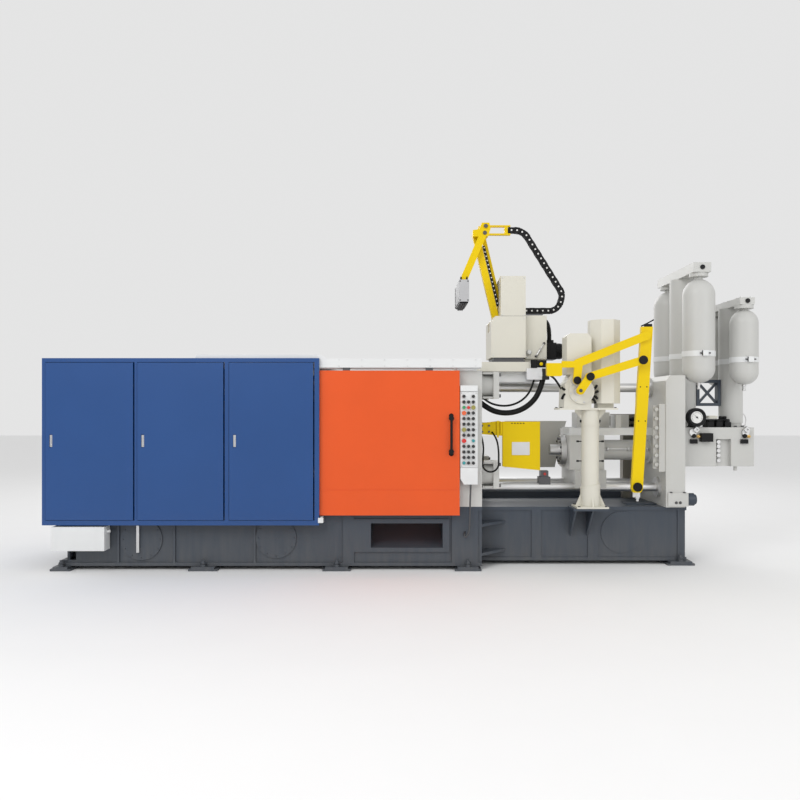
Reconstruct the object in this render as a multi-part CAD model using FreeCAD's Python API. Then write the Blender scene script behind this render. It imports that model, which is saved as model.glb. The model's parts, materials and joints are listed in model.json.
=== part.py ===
"""Cold-chamber die casting machine with its sprayer and ladler, one STEP file per sub-part.

Millimetres. +X runs from the clamping end to the injection end, +Y from the operator's
side to the rear, +Z up. The origin is on the floor under the middle of the machine.
"""
import FreeCAD
import Part
import math
import os

V = FreeCAD.Vector

# ---------------------------------------------------------------- driving dimensions
# Clearances shared by everything that fits together
FIT = 0.3                 # between curved faces of fixed pieces
RUN = 0.08                # radial clearance of a running shaft
GAP = 5.0                 # between a moving piece and its neighbours

# Base
FOOT_HEIGHT = 45.0
PLATEN_FACE_X = 768.0     # injection-side face of the fixed platen, where the two bases join
CLAMP_BASE_LENGTH = 4649.0
CLAMP_BASE_HALF = 800.0   # half width
CLAMP_BASE_TOP = 695.0
SHOT_BASE_LENGTH = 2359.0
SHOT_BASE_HALF = 500.0
SHOT_BASE_TOP = 656.0
FLANGE_PROUD = 20.0       # how far flanges and ribs stand off the base's side plates
FLANGE_TOP_THICK = 47.0
FLANGE_LOW_THICK = 37.0
SILL_HEIGHT = 15.0        # slide strips under the moving and end platens
CHUTE_X = (-454.0, 337.0)
CHUTE_Z = (244.0, 513.0)
CHUTE_DEPTH = 820.0       # how far the chute reaches in from the front face

# Platens and tie bars
PLATEN_HALF = 800.0
PLATEN_TOP = 2190.0
FIXED_PLATEN_THICK = 380.0
MOVING_PLATEN_THICK = 360.0
END_PLATEN_THICK = 350.0
DIE_SPACE = 1038.0        # daylight between the fixed and the moving platen
TOGGLE_SPACE = 1890.0     # between the moving and the end platen
LOW_PLATEN_HALF = 740.0   # moving and end platens
LOW_PLATEN_TOP = 2150.0
BAR_Z = (1029.0, 2034.0)
BAR_Y = 500.0
BAR_R = 82.5
NUT_R = 135.0
NUT_LENGTH = 145.0
NUT_PLATE = 300.0
NUT_PLATE_THICK = 64.0
SLEEVE_R = 110.0          # bore for the shot sleeve
SHOT_Z = 1277.0           # height of the injection axis
SLOT_NECK = 28.0
SLOT_HEAD = 50.0
SLOT_DEPTH = 55.0

# Toggle
PIN_OFFSET = 430.0        # pins of the platens above and below the clamping axis
PIN_STAND = 80.0          # pins off the platens' faces
PIN_R = 45.0
REAR_LINK = 820.0
FRONT_LINK = 980.0
LINK_WIDTH = 150.0
CLAMP_CYLINDER_R = 160.0
CLAMP_CYLINDER_LENGTH = 610.0
CLAMP_ROD_R = 45.0

# Guard over the toggle
GUARD_LEFT = -4001.0
GUARD_FRONT = 950.0       # leaves' outer faces, either side of the middle
GUARD_BOTTOM = 512.0
GUARD_TOP = 2319.0
LEAF_WIDTHS = (945.0, 928.0, 907.0)
STILES = (36.0, 27.0, 44.0, 50.0)
RAIL_LOW = 52.5
RAIL_TOP = 44.0
LEAF_THICK = 40.0
LEAF_SKIN = 4.0
FRAME_SET_BACK = 8.0      # frame's face behind the leaves' faces
FRAME_THICK = 40.0
LEAF_GAP = 5.0
HINGE_GAP = 14.0
PIVOT_INSET = 12.0        # pivot from the leaf's edge
PIVOT_DEPTH = 18.0        # pivot from the leaf's outer face
PIVOT_R = 6.0
PIVOT_LENGTH = 25.0
LATCH_Z = 1424.0

# Sliding front door
DOOR_WIDTH = 1552.0
DOOR_RIGHT = 515.0
DOOR_Z = (613.0, 2187.0)
DOOR_FACE = 895.0
DOOR_THICK = 35.0
DOOR_SEAM_Z = 890.0
HANDLE_FROM_EDGE = 91.0
HANDLE_Z = (1282.0, 1695.0)
HANDLE_R = 14.0
HANDLE_END_R = 27.0
HANDLE_STAND = 40.0
ROLLER_R = 30.0
ROLLER_WIDTH = 24.0
RAIL_TOP_Z = 2238.0
RAIL_Y = 850.0
COVER_X = (-2353.0, -1000.0, 755.0)
COVER_FRONT = 897.0
COVER_BACK = 800.0
COVER_BOTTOM = 2219.0
COVER_TOP_LEFT = 2360.0
COVER_TOP = 2318.0
COVER_SKIN = 4.0

# Control panel on the fixed platen
PANEL_X = (524.0, 712.0)
PANEL_FACE = 880.0
PANEL_Z = (948.0, 1130.0, 1955.0, 2025.0)
BUTTON_COLUMNS = (562.0, 612.0, 664.0)
BUTTON_ROWS = 13
BUTTON_TOP_Z = 1906.0
BUTTON_PITCH = 60.3
BUTTON_R = 17.0
BIG_BUTTON_R = 24.0

# Injection end
FRAME_PLATE_X = 2873.0
FRAME_PLATE_THICK = 219.0
FRAME_PLATE_HALF = 560.0
FRAME_PLATE_TOP = 2150.0
UPPER_BAR_R = 54.0
UPPER_BAR_Z = 2024.0
LOWER_BAR_R = 50.0
LOWER_BAR_Y = 300.0
LOWER_BAR_Z = 862.0
SHOT_BLOCK_X = 1846.0
SHOT_BLOCK_LENGTH = 405.0
SHOT_BLOCK_HALF = 280.0
SHOT_BLOCK_Z = (1060.0, 1462.0)
SHOT_TUBE_R = 120.0
SHOT_BEAM_HEIGHT = 85.0
SHOT_BEAM_Y = (160.0, 240.0)
PLUNGER_R = 60.0
PLUNGER_REACH = 760.0     # how far the rod runs back into the cylinder
NOSE_R = 65.0
NOSE_LENGTH = 112.0
COUPLING_R = 178.0
COUPLING_THICK = 61.0
MANIFOLD_LENGTH = 874.0
MANIFOLD_HALF = 350.0
MANIFOLD_Z = (1103.0, 1555.0)

# Accumulators: x, piston radius and top, bottle radius, offset, bottom and top, beam
GROUPS = (
    dict(x=3270.0, piston_r=150.0, piston_top=3313.0, bottle_r=177.0, offset=488.0,
         low=2065.0, high=3241.0, beam_half=600.0, beam_width=198.0, beam_height=108.0,
         strap_z=2394.0),
    dict(x=3846.0, piston_r=136.0, piston_top=2968.0, bottle_r=155.0, offset=359.0,
         low=2051.0, high=2909.0, beam_half=450.0, beam_width=168.0, beam_height=81.0,
         strap_z=2334.0),
)
NECK_R = 45.0
FLANGE_R = 102.0
STRAP_HEIGHT = 62.0
STRAP_THICK = 5.0
GAUGE_CENTRE = V(3275, -420, 1673)
GAUGE_R = 107.0
GAUGE_DEPTH = 60.0

# Sprayer
SPRAYER_BEAM_X = (768.0, 1549.0)
SPRAYER_BEAM_Z = (2086.0, 2206.0)
SPRAYER_DECK = 2317.0
FITTING_Y = (-330.0, -215.0)
CABINET_X = (933.0, 1044.0, 1336.0)
CABINET_Z = (2370.0, 2855.0, 3323.0)
CABINET_HALF = 270.0
SHOULDER = V(1029, 0, 2772)
WRIST = V(772, 0, 3842)         # thick arm's upper pivot
TIE_OFFSET = V(98, 0, 8)        # tie bar's pivots from the thick arm's
THICK_ARM_Y = (-80.0, -8.0)
TIE_ARM_Y = (14.0, 60.0)
FOREARM_Y = (-170.0, -90.0)
THICK_ARM_WIDTH = 82.0
TIE_ARM_WIDTH = 50.0
FOREARM_END = V(629, 0, 3316)
FOREARM_TOP = V(862, 0, 3862)
FOREARM_FOOT = 3291.0       # flat foot that the spray head hangs from
FOREARM_WIDTH = 84.0
ARM_PIN_R = 24.0
TIE_PIN_R = 15.0
HUB = V(880, 0, 3921)           # cross tube of the chain bracket
CHAIN_Y = (295.0, 355.0)
CHAIN_HALF = 37.0
CHAIN_PIN_R = 8.0
CHAIN_PATH = (
    V(1336, 0, 2989), V(1835, 0, 2989), V(1893, 0, 3200), V(1400, 0, 3992), V(1216, 0, 3992),
)
CHAIN_BEND_LOW = 150.0
CHAIN_BEND_HIGH = 190.0
HEAD_X = (556.0, 667.0)
HEAD_Z = (3005.0, 3267.0)
HEAD_HALF = 320.0

# Ladler
COLUMN_X = 1996.0
COLUMN_Y = -640.0
COLUMN_R = 97.5
COLUMN_TOP = 1760.0
BRACKET_Z = 669.0
ARM_PIVOT = V(1803, 0, 2082)
CRANK_PIVOT = V(1822, 0, 1968)
CRANK_END = V(1927, 0, 2120)
LINK_END = V(2511, 0, 2302)
ARM_END = V(2561, 0, 2570)
ARM_BEND = V(1811, 0, 2271)
LADLE_PIVOT = V(2471, 0, 913)
LADLER_PLATE = 34.0       # thickness of the crank, the link and the main arm
LADLER_FACE_Y = -778.0    # front of the gearbox's round face
HANGING_ARM_Y = (-812.0, -757.0)
MAIN_ARM_Y = (-850.0, -850.0 + LADLER_PLATE)
LINK_Y = (-892.0, -892.0 + LADLER_PLATE)
CRANK_Y = (-930.0, -930.0 + LADLER_PLATE)
LADLER_ARM_WIDTH = 92.0
LADLER_LINK_WIDTH = 88.0
HANGING_WIDTH = 132.0
LADLER_PIN_R = 26.0
CAP_R = 44.0


# ---------------------------------------------------------------- shape helpers
def box(xs, ys, zs):
    """A block between two values on each axis."""
    return Part.makeBox(xs[1] - xs[0], ys[1] - ys[0], zs[1] - zs[0], V(xs[0], ys[0], zs[0]))


def both(y0, y1):
    """The two spans at plus and minus a pair of distances from the middle plane."""
    return ((-y1, -y0), (y0, y1))


def rod(a, b, r):
    """A round bar from point a to point b."""
    return Part.makeCylinder(r, (b - a).Length, a, b - a)


def rod_x(x0, x1, y, z, r):
    return rod(V(x0, y, z), V(x1, y, z), r)


def rod_y(x, y0, y1, z, r):
    return rod(V(x, y0, z), V(x, y1, z), r)


def rod_z(x, y, z0, z1, r):
    return rod(V(x, y, z0), V(x, y, z1), r)


def plate(points, direction):
    """A flat outline of points pushed along a direction."""
    return Part.Face(Part.makePolygon(list(points) + [points[0]])).extrude(direction)


def plate_xz(points, ys):
    """An outline given as (x, z) pairs, between two y values."""
    return plate([V(x, ys[0], z) for x, z in points], V(0, ys[1] - ys[0], 0))


def plate_yz(points, xs):
    """An outline given as (y, z) pairs, between two x values."""
    return plate([V(xs[0], y, z) for y, z in points], V(xs[1] - xs[0], 0, 0))


def plate_xy(points, zs):
    """An outline given as (x, y) pairs, between two z values."""
    return plate([V(x, y, zs[0]) for x, y in points], V(0, 0, zs[1] - zs[0]))


def fuse(shapes):
    first, rest = shapes[0], list(shapes[1:])
    return first.fuse(rest).removeSplitter() if rest else first


def cut(shape, tools):
    return shape.cut(list(tools))


def mirrored(shape):
    """The same shape on the other side of the machine's middle plane."""
    return shape.mirror(V(0, 0, 0), V(0, 1, 0))


def link(a, b, width, ys, pin_a, pin_b):
    """A bar in the XZ plane with round ends on two pins; a pin of 0 leaves no hole."""
    along = V(b.x - a.x, 0, b.z - a.z)
    side = V(-along.z, 0, along.x) * (width / 2 / along.Length)
    corners = [a + side, b + side, b - side, a - side]
    body = plate_xz([(p.x, p.z) for p in corners], ys)
    ends = [rod_y(p.x, ys[0], ys[1], p.z, width / 2) for p in (a, b)]
    holes = [rod_y(p.x, ys[0] - 1, ys[1] + 1, p.z, r + RUN)
             for p, r in ((a, pin_a), (b, pin_b)) if r > 0]
    whole = fuse([body] + ends)
    return cut(whole, holes) if holes else whole


def save(node, shapes):
    """One STEP file for a node, from one solid or from several that don't touch."""
    shape = Part.makeCompound(shapes) if isinstance(shapes, (list, tuple)) else shapes
    shape.exportStep("parts/" + node + ".step")
    print(f"{node:28s} {len(shape.Solids):3d} solids  {shape.Volume / 1e9:8.4f} m3")


# ---------------------------------------------------------------- places worked out
CLAMP_BASE_X = (PLATEN_FACE_X - CLAMP_BASE_LENGTH, PLATEN_FACE_X)
SHOT_BASE_X = (PLATEN_FACE_X, PLATEN_FACE_X + SHOT_BASE_LENGTH)
FIXED_X = (PLATEN_FACE_X - FIXED_PLATEN_THICK, PLATEN_FACE_X)
MOVING_X = (FIXED_X[0] - DIE_SPACE - MOVING_PLATEN_THICK, FIXED_X[0] - DIE_SPACE)
END_X = (MOVING_X[0] - TOGGLE_SPACE - END_PLATEN_THICK, MOVING_X[0] - TOGGLE_SPACE)
SILL_Z = CLAMP_BASE_TOP + SILL_HEIGHT
CLAMP_Z = (BAR_Z[0] + BAR_Z[1]) / 2
GUARD_BACK_OF_FRAME = GUARD_FRONT - FRAME_SET_BACK - FRAME_THICK


def leaf_spans():
    """The x spans of the guard's three leaves, from the stiles and gaps between them."""
    spans, x = [], GUARD_LEFT
    for stile, width in zip(STILES, LEAF_WIDTHS):
        x += stile + LEAF_GAP
        spans.append((x, x + width))
        x += width + HINGE_GAP
    return spans, x + STILES[-1]


LEAVES, GUARD_RIGHT = leaf_spans()
LEAF_Z = (GUARD_BOTTOM + RAIL_LOW + LEAF_GAP, GUARD_TOP - RAIL_TOP - LEAF_GAP)
DOOR_X = (DOOR_RIGHT - DOOR_WIDTH, DOOR_RIGHT)
FRAME_PLATE = (FRAME_PLATE_X, FRAME_PLATE_X + FRAME_PLATE_THICK)
MANIFOLD_X = (FRAME_PLATE[1], FRAME_PLATE[1] + MANIFOLD_LENGTH)
SHOT_BLOCK = (SHOT_BLOCK_X, SHOT_BLOCK_X + SHOT_BLOCK_LENGTH)
TIE_SHOULDER = SHOULDER + TIE_OFFSET
TIE_WRIST = WRIST + TIE_OFFSET


# ---------------------------------------------------------------- base
def base_clamp_section():
    """Welded base under the clamping unit, with the chute that castings fall down."""
    x0, x1 = CLAMP_BASE_X
    face = CLAMP_BASE_HALF - FLANGE_PROUD
    top = (CLAMP_BASE_TOP - FLANGE_TOP_THICK, CLAMP_BASE_TOP)
    low = (FOOT_HEIGHT, FOOT_HEIGHT + FLANGE_LOW_THICK)
    parts = [
        box((x0 + FLANGE_PROUD, x1), (-face, face), (FOOT_HEIGHT, CLAMP_BASE_TOP)),
        box((x0, x1), (-CLAMP_BASE_HALF, CLAMP_BASE_HALF), top),
        box((x0, x1), (-CLAMP_BASE_HALF, CLAMP_BASE_HALF), low),
    ]
    ribs = [(x1 - 4010 + i, 24) for i in (0, 615, 1499)] + [(x1 - 1527, 121), (x1 - 330, 286)]
    for x, width in ribs:
        for ys in both(face, CLAMP_BASE_HALF):
            parts.append(box((x, x + width), ys, (low[0], top[1])))
    frame = box((CHUTE_X[0] - 184, CHUTE_X[1] + 72), (-CLAMP_BASE_HALF, -face),
                (CHUTE_Z[0] - 46, CHUTE_Z[1] + 46))
    body = fuse(parts + [frame])
    back = CHUTE_DEPTH - CLAMP_BASE_HALF
    shaft_front = -420.0
    chute = plate_yz([(-CLAMP_BASE_HALF - 1, CHUTE_Z[0]), (-CLAMP_BASE_HALF - 1, CHUTE_Z[1]),
                      (shaft_front, CHUTE_Z[1]), (shaft_front, CLAMP_BASE_TOP + 1),
                      (-shaft_front, CLAMP_BASE_TOP + 1), (-shaft_front, CHUTE_Z[1] + 90),
                      (back, CHUTE_Z[0] + 140)], CHUTE_X)
    end_pockets = [box((x0 + 20, x0 + 181), ys, (low[1] + 25, top[0] - 25))
                   for ys in both(face - 150, CLAMP_BASE_HALF + 1)]
    body = cut(body, [chute] + end_pockets)
    gussets = []
    for ys in both(face - 150, face):
        gussets.append(box((x0 + 92, x0 + 108), ys, (low[1] + 20, top[0] - 20)))
    return fuse([body] + gussets)


def base_shot_section():
    """Narrower base under the injection unit."""
    x0, x1 = SHOT_BASE_X
    face = SHOT_BASE_HALF - 12
    low = (FOOT_HEIGHT, FOOT_HEIGHT + FLANGE_LOW_THICK)
    parts = [
        box((x0, x1 - 12), (-face, face), (FOOT_HEIGHT, SHOT_BASE_TOP)),
        box((x0, x1), (-SHOT_BASE_HALF, SHOT_BASE_HALF), (SHOT_BASE_TOP - 40, SHOT_BASE_TOP)),
        box((x0, x1), (-SHOT_BASE_HALF, SHOT_BASE_HALF), low),
    ]
    for x, width in ((x0 + 597, 108), (x0 + 1238, 118), (x1 - 100, 20)):
        for ys in both(face, SHOT_BASE_HALF):
            parts.append(box((x, x + width), ys, (FOOT_HEIGHT, SHOT_BASE_TOP)))
    # round cover on each side, below the injection cylinder
    for ys in both(face, face + 8):
        parts.append(rod_y(x0 + 1622, ys[0], ys[1], 365.0, 235.0))
    # horizontal gussets in the corner where the two bases meet
    reach = CLAMP_BASE_HALF - SHOT_BASE_HALF
    for z in (150.0, 470.0):
        for side in (-1, 1):
            corner = [(x0, side * face), (x0 + reach, side * face), (x0, side * (CLAMP_BASE_HALF - 20))]
            parts.append(plate_xy(corner, (z, z + 30)))
    return fuse(parts)


def base_covers():
    """Round bolted covers on the sides of the clamp base, two front and two rear."""
    face = CLAMP_BASE_HALF - FLANGE_PROUD
    x0 = CLAMP_BASE_X[0]
    places = ((x0 + 904, 336.0, 229.0), (x0 + 2385, 351.0, 222.0))
    return [rod_y(x, ys[0], ys[1], z, r) for x, z, r in places for ys in both(face, face + 16)]


def levelling_feet():
    """A sole plate, a lug plate and a levelling bolt under each foot of the bases."""
    feet = []
    x0, x1 = CLAMP_BASE_X
    spots = [(x0 + 41, 221, CLAMP_BASE_HALF), (x0 + 1595, 315, CLAMP_BASE_HALF),
             (x0 + 3056, 308, CLAMP_BASE_HALF), (x1 - 157, 288, CLAMP_BASE_HALF),
             (SHOT_BASE_X[1] - 82, 305, SHOT_BASE_HALF)]
    for x, width, half in spots:
        for side in (-1, 1):
            ys = sorted((side * (half - 160), side * (half + 70)))
            mid = side * (half + 35)
            sole = box((x - width / 2, x + width / 2), ys, (0, 22))
            pad = box((x - width / 2 + 30, x + width / 2 - 30), ys, (22, FOOT_HEIGHT))
            bolt = rod_z(x, mid, FOOT_HEIGHT, FOOT_HEIGHT + 70, 16)
            nut = rod_z(x, mid, FOOT_HEIGHT, FOOT_HEIGHT + 24, 29)
            feet.append(fuse([sole, pad, bolt, nut]))
    return feet


def junction_box():
    """Electrical box on the clamp base's side, on two rails."""
    x0 = CLAMP_BASE_X[0]
    face = CLAMP_BASE_HALF - FLANGE_PROUD
    case = box((x0 - 10, x0 + 561), (-961, -CLAMP_BASE_HALF), (238, 496))
    rails = [box((x, x + 60), (-CLAMP_BASE_HALF, -face), (260, 474)) for x in (x0 + 230, x0 + 440)]
    gland = rod_x(x0 + 561, x0 + 595, -880, 440, 16)
    return fuse([case, gland] + rails)


def oil_gauge():
    """Sight glass for the oil level, on the left cover."""
    face = -(CLAMP_BASE_HALF - FLANGE_PROUD + 16)
    x = CLAMP_BASE_X[0] + 875
    tube = box((x - 15, x + 15), (face - 32, face - 12), (196, 490))
    bosses = [box((x - 15, x + 15), (face - 12, face), (z, z + 40)) for z in (200, 446)]
    return fuse([tube] + bosses)


# ---------------------------------------------------------------- platens and toggle
def bar_places():
    return [(y, z) for y in (-BAR_Y, BAR_Y) for z in BAR_Z]


def t_slots(face_x, into, half):
    """Cutters for five level T-slots in a die face; into is +1 or -1 along x."""
    cutters = []
    for i in range(5):
        z = CLAMP_Z + (i - 2) * 200
        neck = sorted((face_x - into, face_x + into * SLOT_DEPTH))
        head = sorted((face_x + into * (SLOT_DEPTH - 25), face_x + into * SLOT_DEPTH))
        span = (-half - 1, half + 1)
        cutters.append(box(neck, span, (z - SLOT_NECK / 2, z + SLOT_NECK / 2)))
        cutters.append(box(head, span, (z - SLOT_HEAD / 2, z + SLOT_HEAD / 2)))
    return cutters


def bar_holes(xs):
    return [rod_x(xs[0] - 1, xs[1] + 1, y, z, BAR_R + FIT) for y, z in bar_places()]


def fixed_platen():
    body = box(FIXED_X, (-PLATEN_HALF, PLATEN_HALF), (CLAMP_BASE_TOP, PLATEN_TOP))
    sleeve = rod_x(FIXED_X[0] - 1, FIXED_X[1] + 1, 0, SHOT_Z, SLEEVE_R)
    slots = t_slots(FIXED_X[0], 1, PLATEN_HALF)
    return cut(body, bar_holes(FIXED_X) + [sleeve] + slots)


def lugs(face_x, out, spans):
    """Pairs of lugs on a platen for the toggle's pins, with their holes."""
    shapes = []
    pin_x = face_x + out * PIN_STAND
    for z in (CLAMP_Z - PIN_OFFSET, CLAMP_Z + PIN_OFFSET):
        for span in spans:
            xs = sorted((face_x - out * 2, pin_x))
            block = box(xs, span, (z - 75, z + 75))
            eye = rod_y(pin_x, span[0], span[1], z, 75)
            shapes.append(fuse([block, eye]))
    return shapes


def pin_holes(face_x, out):
    pin_x = face_x + out * PIN_STAND
    return [rod_y(pin_x, -400, 400, z, PIN_R + FIT)
            for z in (CLAMP_Z - PIN_OFFSET, CLAMP_Z + PIN_OFFSET)]


def moving_platen():
    body = box(MOVING_X, (-LOW_PLATEN_HALF, LOW_PLATEN_HALF), (SILL_Z, LOW_PLATEN_TOP))
    spans = both(100, 155) + both(245, 290)
    whole = fuse([body] + lugs(MOVING_X[0], -1, spans))
    slots = t_slots(MOVING_X[1], -1, LOW_PLATEN_HALF)
    return cut(whole, bar_holes(MOVING_X) + slots + pin_holes(MOVING_X[0], -1))


def end_platen():
    body = box(END_X, (-LOW_PLATEN_HALF, LOW_PLATEN_HALF), (SILL_Z, LOW_PLATEN_TOP))
    spans = ((-50, 50),) + both(160, 210)
    whole = fuse([body] + lugs(END_X[1], 1, spans))
    rod_hole = rod_x(END_X[0] - 1, END_X[1] + 1, 0, CLAMP_Z, CLAMP_ROD_R + FIT)
    return cut(whole, bar_holes(END_X) + pin_holes(END_X[1], 1) + [rod_hole])


def slide_strips():
    """Wear strips on the clamp base that the moving and end platens stand on."""
    xs = (END_X[0], FIXED_X[0] - 420)
    return [box(xs, ys, (CLAMP_BASE_TOP, SILL_Z)) for ys in both(560, 720)]


def tie_bars():
    return [rod_x(END_X[0] - NUT_LENGTH, PLATEN_FACE_X + NUT_LENGTH, y, z, BAR_R)
            for y, z in bar_places()]


def tie_bar_nuts():
    """Collar, tie plates and square end plate on each bar, on the fixed platen."""
    nuts = []
    x0 = PLATEN_FACE_X
    x1 = x0 + NUT_LENGTH
    half = NUT_PLATE / 2
    for y, z in bar_places():
        collar = rod_x(x0, x1, y, z, NUT_R - 12)
        ties = [box((x0 + 30, x1), (y - half + 25, y + half - 25), (z + s - 11, z + s + 11))
                for s in (-(half - 14), half - 14)]
        end = box((x1, x1 + NUT_PLATE_THICK), (y - half, y + half), (z - half, z + half))
        hole = rod_x(x0 - 1, x1, y, z, BAR_R + FIT)
        nuts.append(cut(fuse([collar, end] + ties), [hole]))
    return nuts


def adjusting_nuts():
    """Ring nuts behind the end platen that set the die height."""
    xs = (END_X[0] - NUT_LENGTH, END_X[0])
    return [cut(rod_x(xs[0], xs[1], y, z, NUT_R), [rod_x(xs[0] - 1, xs[1] + 1, y, z, BAR_R + FIT)])
            for y, z in bar_places()]


def knees():
    """The two knee points, where the rear and front links' circles meet."""
    a = END_X[1] + PIN_STAND
    span = MOVING_X[0] - PIN_STAND - a
    along = (REAR_LINK ** 2 - FRONT_LINK ** 2 + span ** 2) / (2 * span)
    inward = math.sqrt(REAR_LINK ** 2 - along ** 2)
    return [V(a + along, 0, CLAMP_Z + s * (PIN_OFFSET - inward)) for s in (-1, 1)]


def crosshead_pins():
    return [V(knee.x - 232, 0, CLAMP_Z + s * 70) for knee, s in zip(knees(), (-1, 1))]


def toggle_links():
    """Rear, front and short links of the upper and lower toggle."""
    links = []
    for s, knee, head in zip((-1, 1), knees(), crosshead_pins()):
        end_pin = V(END_X[1] + PIN_STAND, 0, CLAMP_Z + s * PIN_OFFSET)
        moving_pin = V(MOVING_X[0] - PIN_STAND, 0, CLAMP_Z + s * PIN_OFFSET)
        for ys in both(55, 155):
            links.append(link(end_pin, knee, LINK_WIDTH, ys, PIN_R, PIN_R))
        for ys in both(160, 240):
            links.append(link(knee, moving_pin, LINK_WIDTH, ys, PIN_R, PIN_R))
        links.append(link(head, knee, LINK_WIDTH - 30, (-50, 50), PIN_R - 20, PIN_R))
    return links


def toggle_pins():
    pins = []
    for s, knee, head in zip((-1, 1), knees(), crosshead_pins()):
        z = CLAMP_Z + s * PIN_OFFSET
        pins.append(rod_y(END_X[1] + PIN_STAND, -215, 215, z, PIN_R))
        pins.append(rod_y(MOVING_X[0] - PIN_STAND, -295, 295, z, PIN_R))
        pins.append(rod_y(knee.x, -245, 245, knee.z, PIN_R))
        pins.append(rod_y(head.x, -110, 110, head.z, PIN_R - 20))
    return pins


def toggle_crosshead():
    """Crosshead on the clamping cylinder's rod, forked over the short links."""
    heads = crosshead_pins()
    x = heads[0].x
    cheeks = [box((x - 130, x + 45), ys, (heads[0].z - 50, heads[1].z + 50))
              for ys in both(56, 100)]
    back = box((x - 190, x - 130), (-100, 100), (heads[0].z - 50, heads[1].z + 50))
    shaft = rod_x(END_X[0] - 60, x - 190, 0, CLAMP_Z, CLAMP_ROD_R)
    holes = [rod_y(p.x, -200, 200, p.z, PIN_R - 20 + FIT) for p in heads]
    return cut(fuse(cheeks + [back, shaft]), holes)


def clamp_cylinder():
    """Hydraulic cylinder on the back of the end platen."""
    x1 = END_X[0]
    tube = rod_x(x1 - CLAMP_CYLINDER_LENGTH, x1 - 40, 0, CLAMP_Z, CLAMP_CYLINDER_R)
    flange = rod_x(x1 - 40, x1, 0, CLAMP_Z, CLAMP_CYLINDER_R + 45)
    cap = rod_x(x1 - CLAMP_CYLINDER_LENGTH, x1 - CLAMP_CYLINDER_LENGTH + 60, 0, CLAMP_Z,
                CLAMP_CYLINDER_R + 25)
    hole = rod_x(x1 - 70, x1 + 1, 0, CLAMP_Z, CLAMP_ROD_R + FIT)
    return cut(fuse([tube, flange, cap]), [hole])


# ---------------------------------------------------------------- guard over the toggle
def guard_front_frame():
    """Stiles and rails that the three leaves hang in."""
    ys = (-(GUARD_FRONT - FRAME_SET_BACK), -GUARD_BACK_OF_FRAME)
    whole = box((GUARD_LEFT, GUARD_RIGHT), ys, (GUARD_BOTTOM, GUARD_TOP))
    gaps = [box((x0 - LEAF_GAP, x1 + HINGE_GAP), (ys[0] - 1, ys[1] + 1),
                (LEAF_Z[0] - LEAF_GAP, LEAF_Z[1] + LEAF_GAP)) for x0, x1 in LEAVES]
    sockets = [pivot(x1, z0, z1, PIVOT_R + RUN) for x0, x1 in LEAVES for z0, z1 in pivot_spans(2)]
    return cut(whole, gaps + sockets)


def pivot_spans(extra):
    """The z spans of a leaf's lower and upper pivots."""
    return ((LEAF_Z[0] - PIVOT_LENGTH - extra, LEAF_Z[0] + 1),
            (LEAF_Z[1] - 1, LEAF_Z[1] + PIVOT_LENGTH + extra))


def pivot(edge_x, z0, z1, r):
    return rod_z(edge_x - PIVOT_INSET, -(GUARD_FRONT - PIVOT_DEPTH), z0, z1, r)


def guard_leaf(span):
    """A folded-sheet leaf with stiffeners, its pivots and a seat for its latch."""
    x0, x1 = span
    ys = (-GUARD_FRONT, -(GUARD_FRONT - LEAF_THICK))
    slab = box(span, ys, LEAF_Z)
    skin = LEAF_SKIN
    thirds = [LEAF_Z[0] + (LEAF_Z[1] - LEAF_Z[0]) * i / 3 for i in (0, 1, 2, 3)]
    pockets = [box((x0 + skin, x1 - 30), (ys[0] + skin, ys[1] + 1), (a + 15, b - 15))
               for a, b in zip(thirds, thirds[1:])]
    latch_seat = latch_box(x0, GUARD_FRONT + 1, LEAF_THICK - 25)
    behind = box((x0 + 30, x0 + 90), (-(GUARD_FRONT - skin), ys[1]), (LATCH_Z - 100, LATCH_Z + 100))
    body = cut(fuse([cut(slab, pockets), behind]), [latch_seat])
    return fuse([body] + [pivot(x1, z0, z1, PIVOT_R) for z0, z1 in pivot_spans(0)])


def latch_box(leaf_x, outer, depth):
    return box((leaf_x + 43, leaf_x + 75), (-outer, -outer + depth), (LATCH_Z - 70, LATCH_Z + 70))


def guard_rear_frame():
    frame = box((GUARD_LEFT, GUARD_RIGHT), (GUARD_BACK_OF_FRAME, GUARD_FRONT - FRAME_SET_BACK),
                (GUARD_BOTTOM, GUARD_TOP))
    gaps = [box((x0 - LEAF_GAP, x1 + HINGE_GAP), (GUARD_BACK_OF_FRAME - 1, GUARD_FRONT),
                (LEAF_Z[0] - LEAF_GAP, LEAF_Z[1] + LEAF_GAP)) for x0, x1 in LEAVES]
    return cut(frame, gaps)


def guard_rear_panels():
    """Fixed sheets that close the rear frame."""
    return [box((x0 - LEAF_GAP, x1 + HINGE_GAP), (GUARD_FRONT - 20, GUARD_FRONT),
                (LEAF_Z[0] - LEAF_GAP, LEAF_Z[1] + LEAF_GAP)) for x0, x1 in LEAVES]


def guard_end_panel():
    sheet = box((GUARD_LEFT, GUARD_LEFT + 6), (-GUARD_BACK_OF_FRAME, GUARD_BACK_OF_FRAME),
                (GUARD_BOTTOM, GUARD_TOP - 18))
    posts = [box((GUARD_LEFT + 6, GUARD_LEFT + 40), ys, (GUARD_BOTTOM, GUARD_TOP - 18))
             for ys in both(GUARD_BACK_OF_FRAME - 40, GUARD_BACK_OF_FRAME)]
    beams = [box((GUARD_LEFT + 6, GUARD_LEFT + 40),
                 (-GUARD_BACK_OF_FRAME + 40, GUARD_BACK_OF_FRAME - 40), (z, z + 40))
             for z in (GUARD_BOTTOM, GUARD_TOP - 58)]
    return fuse([sheet] + posts + beams)


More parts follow.
